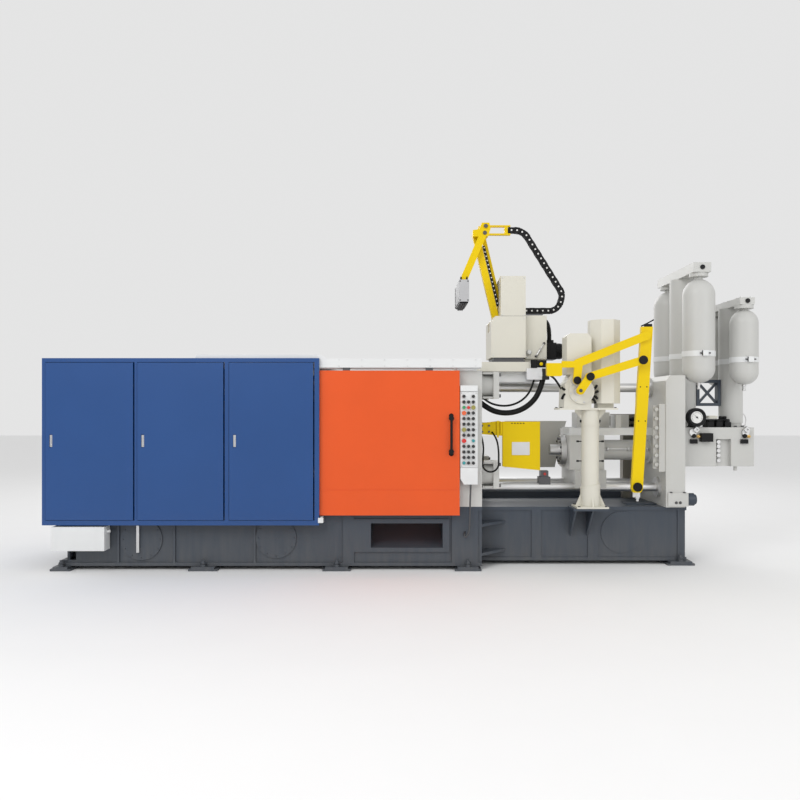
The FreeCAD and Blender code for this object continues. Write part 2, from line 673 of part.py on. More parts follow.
def guard_roof():
    """Sheet over the toggle, narrower where the doors' rail covers run."""
    y = GUARD_BACK_OF_FRAME
    inner = COVER_BACK
    outline = [(GUARD_LEFT, -y), (COVER_X[0], -y), (COVER_X[0], -inner), (GUARD_RIGHT, -inner),
               (GUARD_RIGHT, inner), (COVER_X[0], inner), (COVER_X[0], y), (GUARD_LEFT, y)]
    return plate_xy(outline, (GUARD_TOP - 18, GUARD_TOP))


def guard_brackets():
    """Arms from the base's sides that carry the guard's frames."""
    face = CLAMP_BASE_HALF - FLANGE_PROUD
    xs = [LEAVES[0][0] + 300, LEAVES[1][0] + 300, LEAVES[2][0] + 60, GUARD_RIGHT - 60]
    return [box((x - 40, x + 40), ys, (560, 596)) for x in xs
            for ys in both(face, GUARD_BACK_OF_FRAME)]


def door_guide():
    """Bracket with two guide wheels under the sliding door, at the guard's lower corner."""
    front = GUARD_FRONT - FRAME_SET_BACK
    x0 = GUARD_RIGHT - 11
    face_plate = box((x0, x0 + 54), (-front - 6, -front), (539, 593))
    arm = box((GUARD_RIGHT, x0 + 54), (-front, -(DOOR_FACE - DOOR_THICK - 20)), (539, 580))
    wheels = [rod_z(GUARD_RIGHT + 22, y, 580, 600, 14) for y in (-(DOOR_FACE + 18), -(DOOR_FACE - 52))]
    return fuse([face_plate, arm] + wheels)


# ---------------------------------------------------------------- sliding door
def door_panel():
    """Flat steel leaf in two sheets, with a seam near the foot."""
    ys = (-DOOR_FACE, -(DOOR_FACE - DOOR_THICK))
    slab = box(DOOR_X, ys, DOOR_Z)
    seam = box((DOOR_X[0] - 1, DOOR_X[1] + 1), (ys[0] - 1, ys[0] + 3), (DOOR_SEAM_Z - 3, DOOR_SEAM_Z + 3))
    inside = box((DOOR_X[0] + 40, DOOR_X[1] - 40), (ys[0] + 4, ys[1] + 1),
                 (DOOR_SEAM_Z + 30, DOOR_Z[1] - 40))
    foot = box((DOOR_X[0] + 40, DOOR_X[1] - 40), (ys[0] + 4, ys[1] + 1),
               (DOOR_Z[0] + 40, DOOR_SEAM_Z - 30))
    return cut(slab, [seam, inside, foot])


def door_handle():
    x = DOOR_X[1] - HANDLE_FROM_EDGE
    y = -(DOOR_FACE + HANDLE_STAND)
    bar = rod_z(x, y, HANDLE_Z[0] + 10, HANDLE_Z[1] - 10, HANDLE_R)
    ends = [rod_y(x, y - HANDLE_R, -DOOR_FACE, z, HANDLE_END_R)
            for z in (HANDLE_Z[0] + HANDLE_END_R, HANDLE_Z[1] - HANDLE_END_R)]
    return fuse([bar] + ends)


def hanger_places():
    return (DOOR_X[0] + 320, DOOR_X[1] - 330)


def door_hangers():
    """Plates up from the door's top edge, each with the pin of its roller."""
    hangers = []
    z = RAIL_TOP_Z + ROLLER_R + FIT
    for x in hanger_places():
        arm = box((x - 40, x + 40), (-(RAIL_Y + 32), -(RAIL_Y + 20)), (DOOR_Z[1], z + 25))
        pin = rod_y(x, -(RAIL_Y + 20), -(RAIL_Y - ROLLER_WIDTH / 2 - 4), z, 9)
        hangers.append(fuse([arm, pin]))
    return hangers


def door_rollers():
    z = RAIL_TOP_Z + ROLLER_R + FIT
    ys = (-(RAIL_Y + ROLLER_WIDTH / 2), -(RAIL_Y - ROLLER_WIDTH / 2))
    return [cut(rod_y(x, ys[0], ys[1], z, ROLLER_R), [rod_y(x, ys[0] - 1, ys[1] + 1, z, 9 + FIT)])
            for x in hanger_places()]


def rear_door():
    """The rear door, hung in the same way with its rollers in one piece with the hangers."""
    z = RAIL_TOP_Z + ROLLER_R + FIT
    ys = (-(RAIL_Y + ROLLER_WIDTH / 2), -(RAIL_Y - ROLLER_WIDTH / 2))
    rollers = [rod_y(x, ys[0], ys[1], z, ROLLER_R) for x in hanger_places()]
    return mirrored(fuse([door_panel()] + door_hangers() + rollers))


def door_rail():
    """Angle rail that the rollers run on, bolted to the cover's back."""
    xs = (COVER_X[0] + 10, COVER_X[2] - 10)
    upright = box(xs, (-(RAIL_Y + 5), -(RAIL_Y - 5)), (RAIL_TOP_Z - 33, RAIL_TOP_Z))
    shelf = box(xs, (-(RAIL_Y - 5), -(COVER_BACK + COVER_SKIN)), (RAIL_TOP_Z - 33, RAIL_TOP_Z - 23))
    seat_top = RAIL_TOP_Z - 33
    seat = box((FIXED_X[0] + 90, FIXED_X[1] - 60), (-(RAIL_Y - 5), -(PLATEN_HALF - 60)),
               (PLATEN_TOP, seat_top))
    return fuse([upright, shelf, seat])


def door_rail_cover():
    """Folded cover over the rail, open below, taller where it passes the guard."""
    xa, xb, xc = COVER_X
    step = 70.0
    outline = [(xa, COVER_BOTTOM), (xc, COVER_BOTTOM), (xc, COVER_TOP), (xb + step, COVER_TOP),
               (xb, COVER_TOP_LEFT), (xa, COVER_TOP_LEFT)]
    outer = plate_xz(outline, (-COVER_FRONT, -COVER_BACK))
    skin = COVER_SKIN
    hollow = [(xa + skin, COVER_BOTTOM - 1), (xc - skin, COVER_BOTTOM - 1),
              (xc - skin, COVER_TOP - skin), (xb + step - 1, COVER_TOP - skin),
              (xb - 1, COVER_TOP_LEFT - skin), (xa + skin, COVER_TOP_LEFT - skin)]
    inner = plate_xz(hollow, (-COVER_FRONT + skin, -COVER_BACK - skin))
    return cut(outer, [inner])


# ---------------------------------------------------------------- control panel
def control_panel():
    x0, x1 = PANEL_X
    z0, z1, z2, z3 = PANEL_Z
    back = -PLATEN_HALF
    body = box(PANEL_X, (-PANEL_FACE, back), (z1 + 4, z2))
    neck = box((x0 + 6, x1 - 6), (-PANEL_FACE + 10, back), (z1 - 4, z2 + 9))
    cap = box(PANEL_X, (-PANEL_FACE - 10, back), (z2 + 7, z3))
    low = plate_xz([(x0 + 40, z0), (x1, z0), (x1, z1), (x0, z1), (x0, z0 + 60)],
                   (-PANEL_FACE - 6, back))
    return fuse([body, neck, cap, low])


def panel_buttons():
    """Push-buttons and knobs in three columns; the larger ones are mushroom heads."""
    big = {(2, 2), (3, 0), (6, 0), (8, 0)}
    missing = {(0, 1), (8, 1)}
    buttons = []
    for row in range(BUTTON_ROWS):
        for column, x in enumerate(BUTTON_COLUMNS):
            if (row, column) in missing:
                continue
            z = BUTTON_TOP_Z - row * BUTTON_PITCH
            r = BIG_BUTTON_R if (row, column) in big else BUTTON_R
            stem = rod_y(x, -PANEL_FACE - 12, -PANEL_FACE, z, r * 0.7)
            head = rod_y(x, -PANEL_FACE - 24, -PANEL_FACE - 12, z, r)
            buttons.append(fuse([stem, head]))
    return buttons


# ---------------------------------------------------------------- injection unit
def shot_frame_plate():
    """Thick upright plate at the end of the injection frame, on a wider foot."""
    x0, x1 = FRAME_PLATE
    top = FRAME_PLATE_TOP
    outline = [(x0, SHOT_BASE_TOP), (x1, SHOT_BASE_TOP), (x1, top), (x0 + 50, top), (x0, top - 60)]
    body = plate_xz(outline, (-FRAME_PLATE_HALF, FRAME_PLATE_HALF))
    foot = box((x0 + 20, x1 + 30), (-FRAME_PLATE_HALF - 16, FRAME_PLATE_HALF + 16),
               (SHOT_BASE_TOP + 12, SHOT_BASE_TOP + 165))
    return fuse([body, foot])


def shot_strip_plate():
    """Stiffening plate and its row of bolts on the inner side of the end plate."""
    x0 = FRAME_PLATE_X
    strip = box((x0 - 75, x0), (-FRAME_PLATE_HALF + 10, -FRAME_PLATE_HALF + 60), (1060, 1826))
    heads = [rod_y(x0 - 100, -FRAME_PLATE_HALF + 15, -FRAME_PLATE_HALF + 45, 1140 + i * 104, 22)
             for i in range(7)]
    web = box((x0 - 130, x0 - 75), (-FRAME_PLATE_HALF + 45, -FRAME_PLATE_HALF + 60), (1090, 1810))
    return fuse([strip, web] + heads)


def shot_frame_bars():
    x0, x1 = PLATEN_FACE_X, FRAME_PLATE_X
    return [rod_x(x0, x1, 0, UPPER_BAR_Z, UPPER_BAR_R)] + [
        rod_x(x0, x1, y, LOWER_BAR_Z, LOWER_BAR_R) for y in (-LOWER_BAR_Y, LOWER_BAR_Y)]


def shot_bar_collars():
    """Flanged collars where the injection frame's bars meet the platen and the end plate."""
    collars = []
    ends = [(0, UPPER_BAR_Z, UPPER_BAR_R, FRAME_PLATE_X - 34, FRAME_PLATE_X, 65)]
    for y in (-LOWER_BAR_Y, LOWER_BAR_Y):
        ends.append((y, LOWER_BAR_Z, LOWER_BAR_R, PLATEN_FACE_X, PLATEN_FACE_X + 32, 27))
        ends.append((y, LOWER_BAR_Z, LOWER_BAR_R, FRAME_PLATE_X - 34, FRAME_PLATE_X, 65))
    for y, z, r, x0, x1, wall in ends:
        outer = rod_x(x0, x1, y, z, r + wall)
        collars.append(cut(outer, [rod_x(x0 - 1, x1 + 1, y, z, r + FIT)]))
    return collars


def shot_block():
    """Front head of the injection cylinder, saddled on the two lower bars."""
    xs = SHOT_BLOCK
    head = box(xs, (-SHOT_BLOCK_HALF, SHOT_BLOCK_HALF), SHOT_BLOCK_Z)
    saddle = box((xs[0] + 45, xs[1]), (-LOWER_BAR_Y - 70, LOWER_BAR_Y + 70),
                 (LOWER_BAR_Z - 10, SHOT_BLOCK_Z[0]))
    bars = [rod_x(xs[0], xs[1] + 1, y, LOWER_BAR_Z, LOWER_BAR_R + FIT)
            for y in (-LOWER_BAR_Y, LOWER_BAR_Y)]
    bore = rod_x(xs[0] - 1, xs[1] + 1, 0, SHOT_Z, PLUNGER_R + RUN)
    return cut(fuse([head, saddle]), bars + [bore])


def shot_cylinder():
    """Cylinder tube between the front head and the end plate, with its flange."""
    x0, x1 = SHOT_BLOCK[1], FRAME_PLATE_X
    tube = rod_x(x0, x1, 0, SHOT_Z, SHOT_TUBE_R)
    flange = rod_x(x0, x0 + 40, 0, SHOT_Z, SHOT_TUBE_R + 45)
    end = rod_x(x1 - 40, x1, 0, SHOT_Z, SHOT_TUBE_R + 45)
    inside = rod_x(x0 - 1, SHOT_BLOCK_X + PLUNGER_REACH + 12, 0, SHOT_Z, PLUNGER_R + RUN)
    return cut(fuse([tube, flange, end]), [inside])


def shot_beams():
    """Two beams along the top of the cylinder, from its head to the end plate."""
    z0 = SHOT_BLOCK_Z[1]
    return [box((SHOT_BLOCK_X + 9, FRAME_PLATE_X), ys, (z0, z0 + SHOT_BEAM_HEIGHT))
            for ys in both(*SHOT_BEAM_Y)]


def plunger_rod():
    """Cylinder rod with its coupling, lever lug and the nose that takes a plunger."""
    back = SHOT_BLOCK_X - GAP
    front = back - COUPLING_THICK
    disc = rod_x(front, back, 0, SHOT_Z, COUPLING_R)
    nose = rod_x(front - NOSE_LENGTH, front, 0, SHOT_Z, NOSE_R)
    shaft = rod_x(back, SHOT_BLOCK_X + PLUNGER_REACH, 0, SHOT_Z, PLUNGER_R)
    lug = box((front + 12, back - 12), (-28, 28), (SHOT_Z + COUPLING_R - 20, SHOT_Z + COUPLING_R + 80))
    pin = rod_y(front + 30, -60, 60, SHOT_Z + COUPLING_R + 55, 13)
    return fuse([disc, nose, shaft, lug, pin])


def splash_guard_front():
    """Folded yellow sheet in front of the sleeve, on a bracket from the platen."""
    x0, x1 = 1057.0, 1492.0
    ys = (-334.0, -328.0)
    outline = [(x0, 1101), (x1, 1057), (x1, 1623), (x0, 1623)]
    sheet = plate_xz(outline, ys)
    top = box((x0, x1), (ys[1], ys[1] + 40), (1617, 1623))
    side = box((x0, x0 + 6), (ys[1], ys[1] + 40), (1105, 1623))
    bracket = plate_xz([(PLATEN_FACE_X, 1480), (x0 + 60, 1452), (x0 + 60, 1600),
                        (x0 - 40, 1630), (PLATEN_FACE_X, 1600)], (ys[1], ys[1] + 24))
    foot = box((PLATEN_FACE_X, PLATEN_FACE_X + 16), (ys[1], ys[1] + 70), (1470, 1610))
    return fuse([sheet, top, side, bracket, foot])


def splash_guard_rear():
    """Grey sheet behind the sleeve, with a slanted end beside the cylinder's head."""
    y0 = SHOT_BLOCK_HALF + 12
    outline = [(1165, 1045), (1790, 1045), (1850, 1340), (1935, 1619), (1165, 1619)]
    sheet = plate_xz(outline, (y0, y0 + 6))
    bracket = box((PLATEN_FACE_X, 1225), (y0 + 6, y0 + 24), (1470, 1600))
    foot = box((PLATEN_FACE_X, PLATEN_FACE_X + 16), (y0 + 6, y0 + 70), (1450, 1610))
    return fuse([sheet, bracket, foot])


def lubricator():
    """Small lubricator on the lower bars, below the splash guard."""
    x0, x1 = 1481.0, 1611.0
    ys = (-LOWER_BAR_Y - 40, -LOWER_BAR_Y + 90)
    base = box((x0, x1), ys, (LOWER_BAR_Z + LOWER_BAR_R - 20, 980))
    case = box((x0 + 20, x1 - 20), (ys[0] + 15, ys[1] - 15), (980, 1050))
    knob = rod_y((x0 + x1) / 2, ys[0] - 5, ys[0] + 15, 1015, 16)
    saddle = rod_x(x0 - 1, x1 + 1, -LOWER_BAR_Y, LOWER_BAR_Z, LOWER_BAR_R + FIT)
    return cut(fuse([base, case, knob]), [saddle])


def shot_valve_block():
    """Valve block over the cylinder's head, with its post, on the two beams."""
    z0 = SHOT_BLOCK_Z[1] + SHOT_BEAM_HEIGHT
    block = box((1990, 2380), (-40, 245), (z0, z0 + 180))
    manifold = box((2470, 2640), (60, 245), (z0, z0 + 150))
    post = box((2400, 2460), (-230, -170), (z0, z0 + 150))
    return [block, manifold, post]


def rear_valve_stand():
    """Upright oil manifold behind the cylinder, on the shot base."""
    y0 = 360.0
    column = box((2657, 2835), (y0, SHOT_BASE_HALF - 10), (SHOT_BASE_TOP, 1527))
    head = box((2532, 2835), (y0, SHOT_BASE_HALF - 10), (1527, 1704))
    valve = box((2500, 2532), (y0 + 20, y0 + 110), (1560, 1680))
    return fuse([column, head, valve])


def manifold_block():
    """Steel block behind the end plate that carries both accumulator groups."""
    body = box(MANIFOLD_X, (-MANIFOLD_HALF, MANIFOLD_HALF), MANIFOLD_Z)
    x0 = MANIFOLD_X[0]
    pockets = [box((x0 + 434, x0 + 608), ys, (MANIFOLD_Z[0] - 1, 1421))
               for ys in both(MANIFOLD_HALF - 60, MANIFOLD_HALF + 1)]
    drain = rod_z(x0 + 682, -MANIFOLD_HALF + 60, MANIFOLD_Z[0] - 52, MANIFOLD_Z[0], 20)
    return fuse([cut(body, pockets), drain])


def manifold_valves():
    """Valves, caps and solenoids on the block's front face and top."""
    x0 = MANIFOLD_X[0]
    front = -MANIFOLD_HALF
    top = MANIFOLD_Z[1]
    solids = [
        box((x0 + 241, x0 + 374), (front - 70, front), (1391, 1490)),
        box((x0 + 130, x0 + 210), (front - 30, front), (1369, 1418)),
        box((x0 + 715, x0 + 795), (front - 30, front), (1369, 1418)),
        rod_y(x0 + 160, front - 26, front, 1500, 42),
        rod_y(x0 + 770, front - 26, front, 1500, 42),
    ]
    for i in range(3):
        x = x0 + 362 + i * 100
        solids.append(fuse([box((x, x + 70), (-300, -210), (top, top + 60)),
                            rod_z(x + 35, -255, top + 60, top + 86, 26)]))
    return solids


def pressure_gauge():
    """Large dial gauge on a bent pipe from the block's top."""
    c = GAUGE_CENTRE
    case = rod_y(c.x, c.y, c.y + GAUGE_DEPTH, c.z, GAUGE_R)
    pipe = rod_y(c.x, c.y + GAUGE_DEPTH, -300, c.z, 16)
    riser = rod_z(c.x, -300, MANIFOLD_Z[1], c.z + 16, 20)
    block = box((c.x - 40, c.x + 40), (-340, -260), (MANIFOLD_Z[1], MANIFOLD_Z[1] + 40))
    return fuse([case, pipe, riser, block])


def lifting_stubs():
    """Round stubs at the injection end for slings, front and rear."""
    x0 = FRAME_PLATE[1] + 30
    stubs = []
    for y in (-480, 480):
        body = rod_x(x0, x0 + 90, y, 738, 72)
        dome = rod_x(x0 + 90, x0 + 113, y, 738, 56)
        stubs.append(fuse([body, dome]))
    return stubs


# ---------------------------------------------------------------- accumulators
def piston_accumulators():
    """Two upright piston accumulators on the block, each with a foot flange."""
    shapes = []
    for g in GROUPS:
        tube = rod_z(g["x"], 0, MANIFOLD_Z[1] + 45, g["piston_top"], g["piston_r"])
        foot = rod_z(g["x"], 0, MANIFOLD_Z[1], MANIFOLD_Z[1] + 45, g["piston_r"] - 10)
        shapes.append(fuse([tube, foot]))
    return shapes


def bottle(x, y, low, high, r):
    """A gas bottle as one turned profile: round base, straight side, shoulder and neck."""
    base = r * 0.92
    shoulder = r * 1.05
    profile = [
        Part.LineSegment(V(0, 0, low), V(r - base, 0, low)).toShape(),
        Part.Arc(V(r - base, 0, low), V(r - base + base * 0.7071, 0, low + base * 0.2929),
                 V(r, 0, low + base)).toShape(),
        Part.LineSegment(V(r, 0, low + base), V(r, 0, high - shoulder)).toShape(),
    ]
    # shoulder: an arc from the side to the neck, bulging outwards
    start, end = V(r, 0, high - shoulder), V(NECK_R, 0, high)
    middle = V(NECK_R + (r - NECK_R) * 0.72, 0, high - shoulder * 0.36)
    profile.append(Part.Arc(start, middle, end).toShape())
    profile.append(Part.LineSegment(end, V(0, 0, high)).toShape())
    profile.append(Part.LineSegment(V(0, 0, high), V(0, 0, low)).toShape())
    turned = Part.Face(Part.Wire(profile)).revolve(V(0, 0, 0), V(0, 0, 1), 360)
    turned.translate(V(x, y, 0))
    return turned


def nitrogen_bottles():
    """Four gas bottles with their necks and flanges, hung under the beams."""
    shapes = []
    for g in GROUPS:
        for y in (-g["offset"], g["offset"]):
            body = bottle(g["x"], y, g["low"], g["high"], g["bottle_r"])
            neck = rod_z(g["x"], y, g["high"] - 4, g["piston_top"] - 42, NECK_R)
            flange = rod_z(g["x"], y, g["piston_top"] - 42, g["piston_top"], FLANGE_R)
            shapes.append(fuse([body, neck, flange]))
    return shapes


def bottle_beams():
    """Cross beams over each group, drilled as gas manifolds."""
    shapes = []
    for g in GROUPS:
        half = g["beam_width"] / 2
        z0 = g["piston_top"]
        beam = box((g["x"] - half, g["x"] + half), (-g["beam_half"], g["beam_half"]),
                   (z0, z0 + g["beam_height"]))
        plugs = [rod_y(g["x"], ys[0], ys[1], z0 + g["beam_height"] / 2, 26)
                 for ys in both(g["beam_half"], g["beam_half"] + 12)]
        shapes.append(fuse([beam] + plugs))
    return shapes


def bottle_straps():
    """One strap a group: bands round the bottles and the piston accumulator, tied together."""
    shapes = []
    for g in GROUPS:
        z = (g["strap_z"] - STRAP_HEIGHT / 2, g["strap_z"] + STRAP_HEIGHT / 2)
        rounds = [(-g["offset"], g["bottle_r"]), (0, g["piston_r"]), (g["offset"], g["bottle_r"])]
        bands = [rod_z(g["x"], y, z[0], z[1], r + FIT + STRAP_THICK) for y, r in rounds]
        ties = [box((g["x"] - 12, g["x"] + 12), ys, z)
                for ys in both(g["piston_r"], g["offset"] - g["bottle_r"])]
        holes = [rod_z(g["x"], y, z[0] - 1, z[1] + 1, r + FIT) for y, r in rounds]
        lug = box((g["x"] - 30, g["x"] + 30), (-g["offset"] - g["bottle_r"] - 34,
                                               -g["offset"] - g["bottle_r"] - 2), z)
        shapes.append(cut(fuse(bands + ties + [lug]), holes))
    return shapes


def accumulator_brace():
    """Cross-braced frame between the two piston accumulators."""
    a, b = GROUPS
    x0 = a["x"] + a["piston_r"] + FIT
    x1 = b["x"] - b["piston_r"] - FIT
    z0, z1 = 1804.0, 2117.0
    t = 36.0
    ys = (-45.0, 45.0)
    outer = box((x0, x1), ys, (z0, z1))
    frame = cut(outer, [box((x0 + t, x1 - t), (ys[0] - 1, ys[1] + 1), (z0 + t, z1 - t))])
    diagonals = []
    for low, high in ((z0, z1), (z1, z0)):
        s = 18 if high > low else -18
        diagonals.append(plate_xz([(x0 + 4, low), (x0 + 4, low + s), (x1 - 4 - abs(s), high),
                                   (x1 - 4, high), (x1 - 4, high - s), (x0 + 4 + abs(s), low)],
                                  (-16, 16)))
    return fuse([frame] + diagonals)


# ---------------------------------------------------------------- sprayer
def sprayer_support_beam():
    x0, x1 = SPRAYER_BEAM_X
    z0, z1 = SPRAYER_BEAM_Z
    outline = [(x0, z0), (x1 - 50, z0), (x1, z0 + 60), (x1, z1), (x0, z1)]
    return plate_xz(outline, (-200, 200))


def sprayer_deck():
    """Deck on the beam, with the slide plates that the cabinet stands on."""
    deck = box((517, 1385), (-300, 300), (SPRAYER_BEAM_Z[1], SPRAYER_DECK))
    slides = [box((CABINET_X[0] + 10, CABINET_X[2] - 6), (-250, 250), (SPRAYER_DECK, SPRAYER_DECK + 20)),
              box((CABINET_X[0] + 30, CABINET_X[2] - 20), (-235, 235),
                  (SPRAYER_DECK + 20, CABINET_Z[0]))]
    return fuse([deck] + slides)


def arm_slot():
    """The slot through the cabinet that both arms swing in."""
    return box((CABINET_X[0] - 60, CABINET_X[1] + 200), (THICK_ARM_Y[0] - 10, TIE_ARM_Y[1] + 14),
               (SHOULDER.z - 85, CABINET_Z[2] - 20))


def sprayer_cabinet():
    """Two-step cabinet with the slot of the arms and their two fixed pivots."""
    xa, xb, xc = CABINET_X
    za, zb, zc = CABINET_Z
    outline = [(xa, za), (xc, za), (xc, zc), (xb, zc), (xb, zb), (xa + 50, zb), (xa, zb - 60)]
    body = plate_xz(outline, (-CABINET_HALF, CABINET_HALF))
    slot = arm_slot()
    pins = [rod_y(SHOULDER.x, THICK_ARM_Y[0] - 20, THICK_ARM_Y[1] + 4, SHOULDER.z, ARM_PIN_R),
            rod_y(TIE_SHOULDER.x, TIE_ARM_Y[0] - 4, TIE_ARM_Y[1] + 24, TIE_SHOULDER.z, TIE_PIN_R)]
    return fuse([cut(body, [slot])] + pins)


def sprayer_control_box():
    xs = (1355, 1604)
    case = box(xs, (-150, 250), (2363, 2876))
    foot = box((CABINET_X[2] - 6, xs[1]), (-120, 220), (2330, 2363))
    bridge = box((CABINET_X[2], xs[0]), (-100, 200), (2500, 2760))
    return fuse([case, foot, bridge])


def sprayer_drive():
    """Gear motor of the arms, on the control box's side."""
    x0 = 1604
    gearbox = box((x0, x0 + 130), (-80, 160), (2360, 2560))
    motor = rod_x(x0 + 130, x0 + 213, 40, 2465, 92)
    top = rod_z(x0 + 68, 40, 2560, 2599, 52)
    return fuse([gearbox, motor, top])


def sprayer_fitting():
    """Air and water fitting at the end of the deck."""
    block = box((1340, 1600), FITTING_Y, (SPRAYER_BEAM_Z[1] - 96, SPRAYER_BEAM_Z[1] + 34))
    cap = rod_y(1500, FITTING_Y[0] - 15, FITTING_Y[0], SPRAYER_BEAM_Z[1] - 32, 30)
    return fuse([block, cap])


def chain_tray():
    """Tray behind the cabinet that the cable chain starts from."""
    z = CHAIN_PATH[0].z - CHAIN_HALF - GAP
    xs = (CABINET_X[2] - 90, 1640.0)
    floor = box(xs, (CABINET_HALF, CHAIN_Y[1] + 14), (z - 12, z))
    post = box((xs[0], CABINET_X[2]), (CABINET_HALF, CHAIN_Y[1] + 14), (z, z + 2 * CHAIN_HALF + 10))
    return fuse([floor, post])


def sprayer_upper_arm():
    return link(SHOULDER, WRIST, THICK_ARM_WIDTH, THICK_ARM_Y, ARM_PIN_R, ARM_PIN_R)


def sprayer_tie_bar():
    return link(TIE_SHOULDER, TIE_WRIST, TIE_ARM_WIDTH, TIE_ARM_Y, TIE_PIN_R, TIE_PIN_R)


def sprayer_forearm():
    """Forearm on both arms' upper pivots, with the twin rods that carry the chain's end."""
    ys = FOREARM_Y
    arm = link(FOREARM_TOP, FOREARM_END, FOREARM_WIDTH, ys, 0, 0)
    arm = cut(arm, [box((FOREARM_END.x - 100, FOREARM_END.x + 100), (ys[0] - 1, ys[1] + 1),
                        (HEAD_Z[1] - 50, FOREARM_FOOT))])
    knuckle = plate_xz([(WRIST.x - 42, WRIST.z - 34), (WRIST.x - 42, WRIST.z + 42),
                        (WRIST.x + 36, WRIST.z + 52), (HUB.x - 46, HUB.z + 50),
                        (HUB.x + 44, HUB.z + 50), (HUB.x + 58, HUB.z - 20),
                        (TIE_WRIST.x + 40, TIE_WRIST.z - 40)], ys)
    cheek = (TIE_ARM_Y[1] + GAP, TIE_ARM_Y[1] + GAP + 22)
    pins = [rod_y(WRIST.x, ys[1] - 2, THICK_ARM_Y[1] + 4, WRIST.z, ARM_PIN_R),
            rod_y(TIE_WRIST.x, TIE_ARM_Y[0] - 4, cheek[1] - 2, TIE_WRIST.z, TIE_PIN_R),
            link(TIE_WRIST, V(HUB.x, 0, HUB.z + 8), 60, cheek, 0, 0)]
    tube = rod_y(HUB.x, ys[0] - 8, CHAIN_Y[1], HUB.z + 8, 30)
    z_end = CHAIN_PATH[-1].z
    hub_plate = box((HUB.x - 40, HUB.x + 70), CHAIN_Y, (HUB.z - 24, z_end + 46))
    rods = [box((HUB.x + 60, CHAIN_PATH[-1].x + 24), CHAIN_Y, (z - 9, z + 9))
            for z in (z_end - CHAIN_HALF - GAP - 9, z_end + CHAIN_HALF + GAP + 9)]
    end = box((CHAIN_PATH[-1].x - 50, CHAIN_PATH[-1].x - 10), CHAIN_Y,
              (z_end - CHAIN_HALF - GAP - 9, z_end + CHAIN_HALF + GAP + 9))
    return fuse([arm, knuckle, tube, hub_plate, end] + pins + rods)


def spray_head():
    """Spray block under the forearm: body, end plates and nozzle plate."""
    body = box(HEAD_X, (-HEAD_HALF + 14, HEAD_HALF - 14), (HEAD_Z[0] + 18, HEAD_Z[1]))
    ends = [box((HEAD_X[0] - 4, HEAD_X[1] + 4), ys, (HEAD_Z[0] + 12, HEAD_Z[1] + 6))
            for ys in both(HEAD_HALF - 14, HEAD_HALF)]
    nozzles = box((HEAD_X[0] + 6, HEAD_X[1] - 6), (-HEAD_HALF + 20, HEAD_HALF - 20),
                  (HEAD_Z[0], HEAD_Z[0] + 18))
    neck = box((FOREARM_END.x - 45, FOREARM_END.x + 40), (FOREARM_Y[0] - 1, FOREARM_Y[1] + 1),
               (HEAD_Z[1], FOREARM_FOOT))
    return fuse([body, nozzles] + ends + [neck])


def chain_path():
    """The chain's middle line: straight runs joined by arcs, from the tray to the rods."""
    edges = []
    points = CHAIN_PATH
    at = points[0]
    for i, radius in ((1, CHAIN_BEND_LOW), (2, CHAIN_BEND_LOW), (3, CHAIN_BEND_HIGH)):
        before, corner, after = points[i - 1], points[i], points[i + 1]
        u = (before - corner).normalize()
        w = (after - corner).normalize()
        turn = math.pi - u.getAngle(w)
        reach = radius * math.tan(turn / 2)
        start, end = corner + u * reach, corner + w * reach
        bisector = (u + w).normalize()
        middle = corner + bisector * (radius / math.cos(turn / 2) - radius)
        edges.append(Part.LineSegment(at, start).toShape())
        edges.append(Part.Arc(start, middle, end).toShape())
        at = end
    edges.append(Part.LineSegment(at, points[-1]).toShape())
    return Part.Wire(edges)


def sprayer_chain():
    """Cable chain from the tray behind the cabinet up to the forearm's rods."""
    path = chain_path()
    start = CHAIN_PATH[0]
    y0, y1 = CHAIN_Y
    corners = [V(start.x, y0, start.z - CHAIN_HALF), V(start.x, y1, start.z - CHAIN_HALF),
               V(start.x, y1, start.z + CHAIN_HALF), V(start.x, y0, start.z + CHAIN_HALF)]
    middle = (y0 + y1) / 2
    path.translate(V(0, middle, 0))
    section = Part.Wire(Part.makePolygon(corners + [corners[0]]).Edges)
    return path.makePipeShell([section], True, True)


# ---------------------------------------------------------------- ladler
def ladler_bracket():
    """Bracket off the shot base's top and side that carries the column."""
    top = box((COLUMN_X - 219, COLUMN_X + 175), (-793, -SHOT_BASE_HALF), (BRACKET_Z - 25, BRACKET_Z))
    ribs = []
    for x in (COLUMN_X - 200, COLUMN_X - 10):
        ribs.append(plate_yz([(-SHOT_BASE_HALF, BRACKET_Z - 25), (-780, BRACKET_Z - 25),
                              (-SHOT_BASE_HALF, 330)], (x, x + 20)))
    return fuse([top] + ribs)


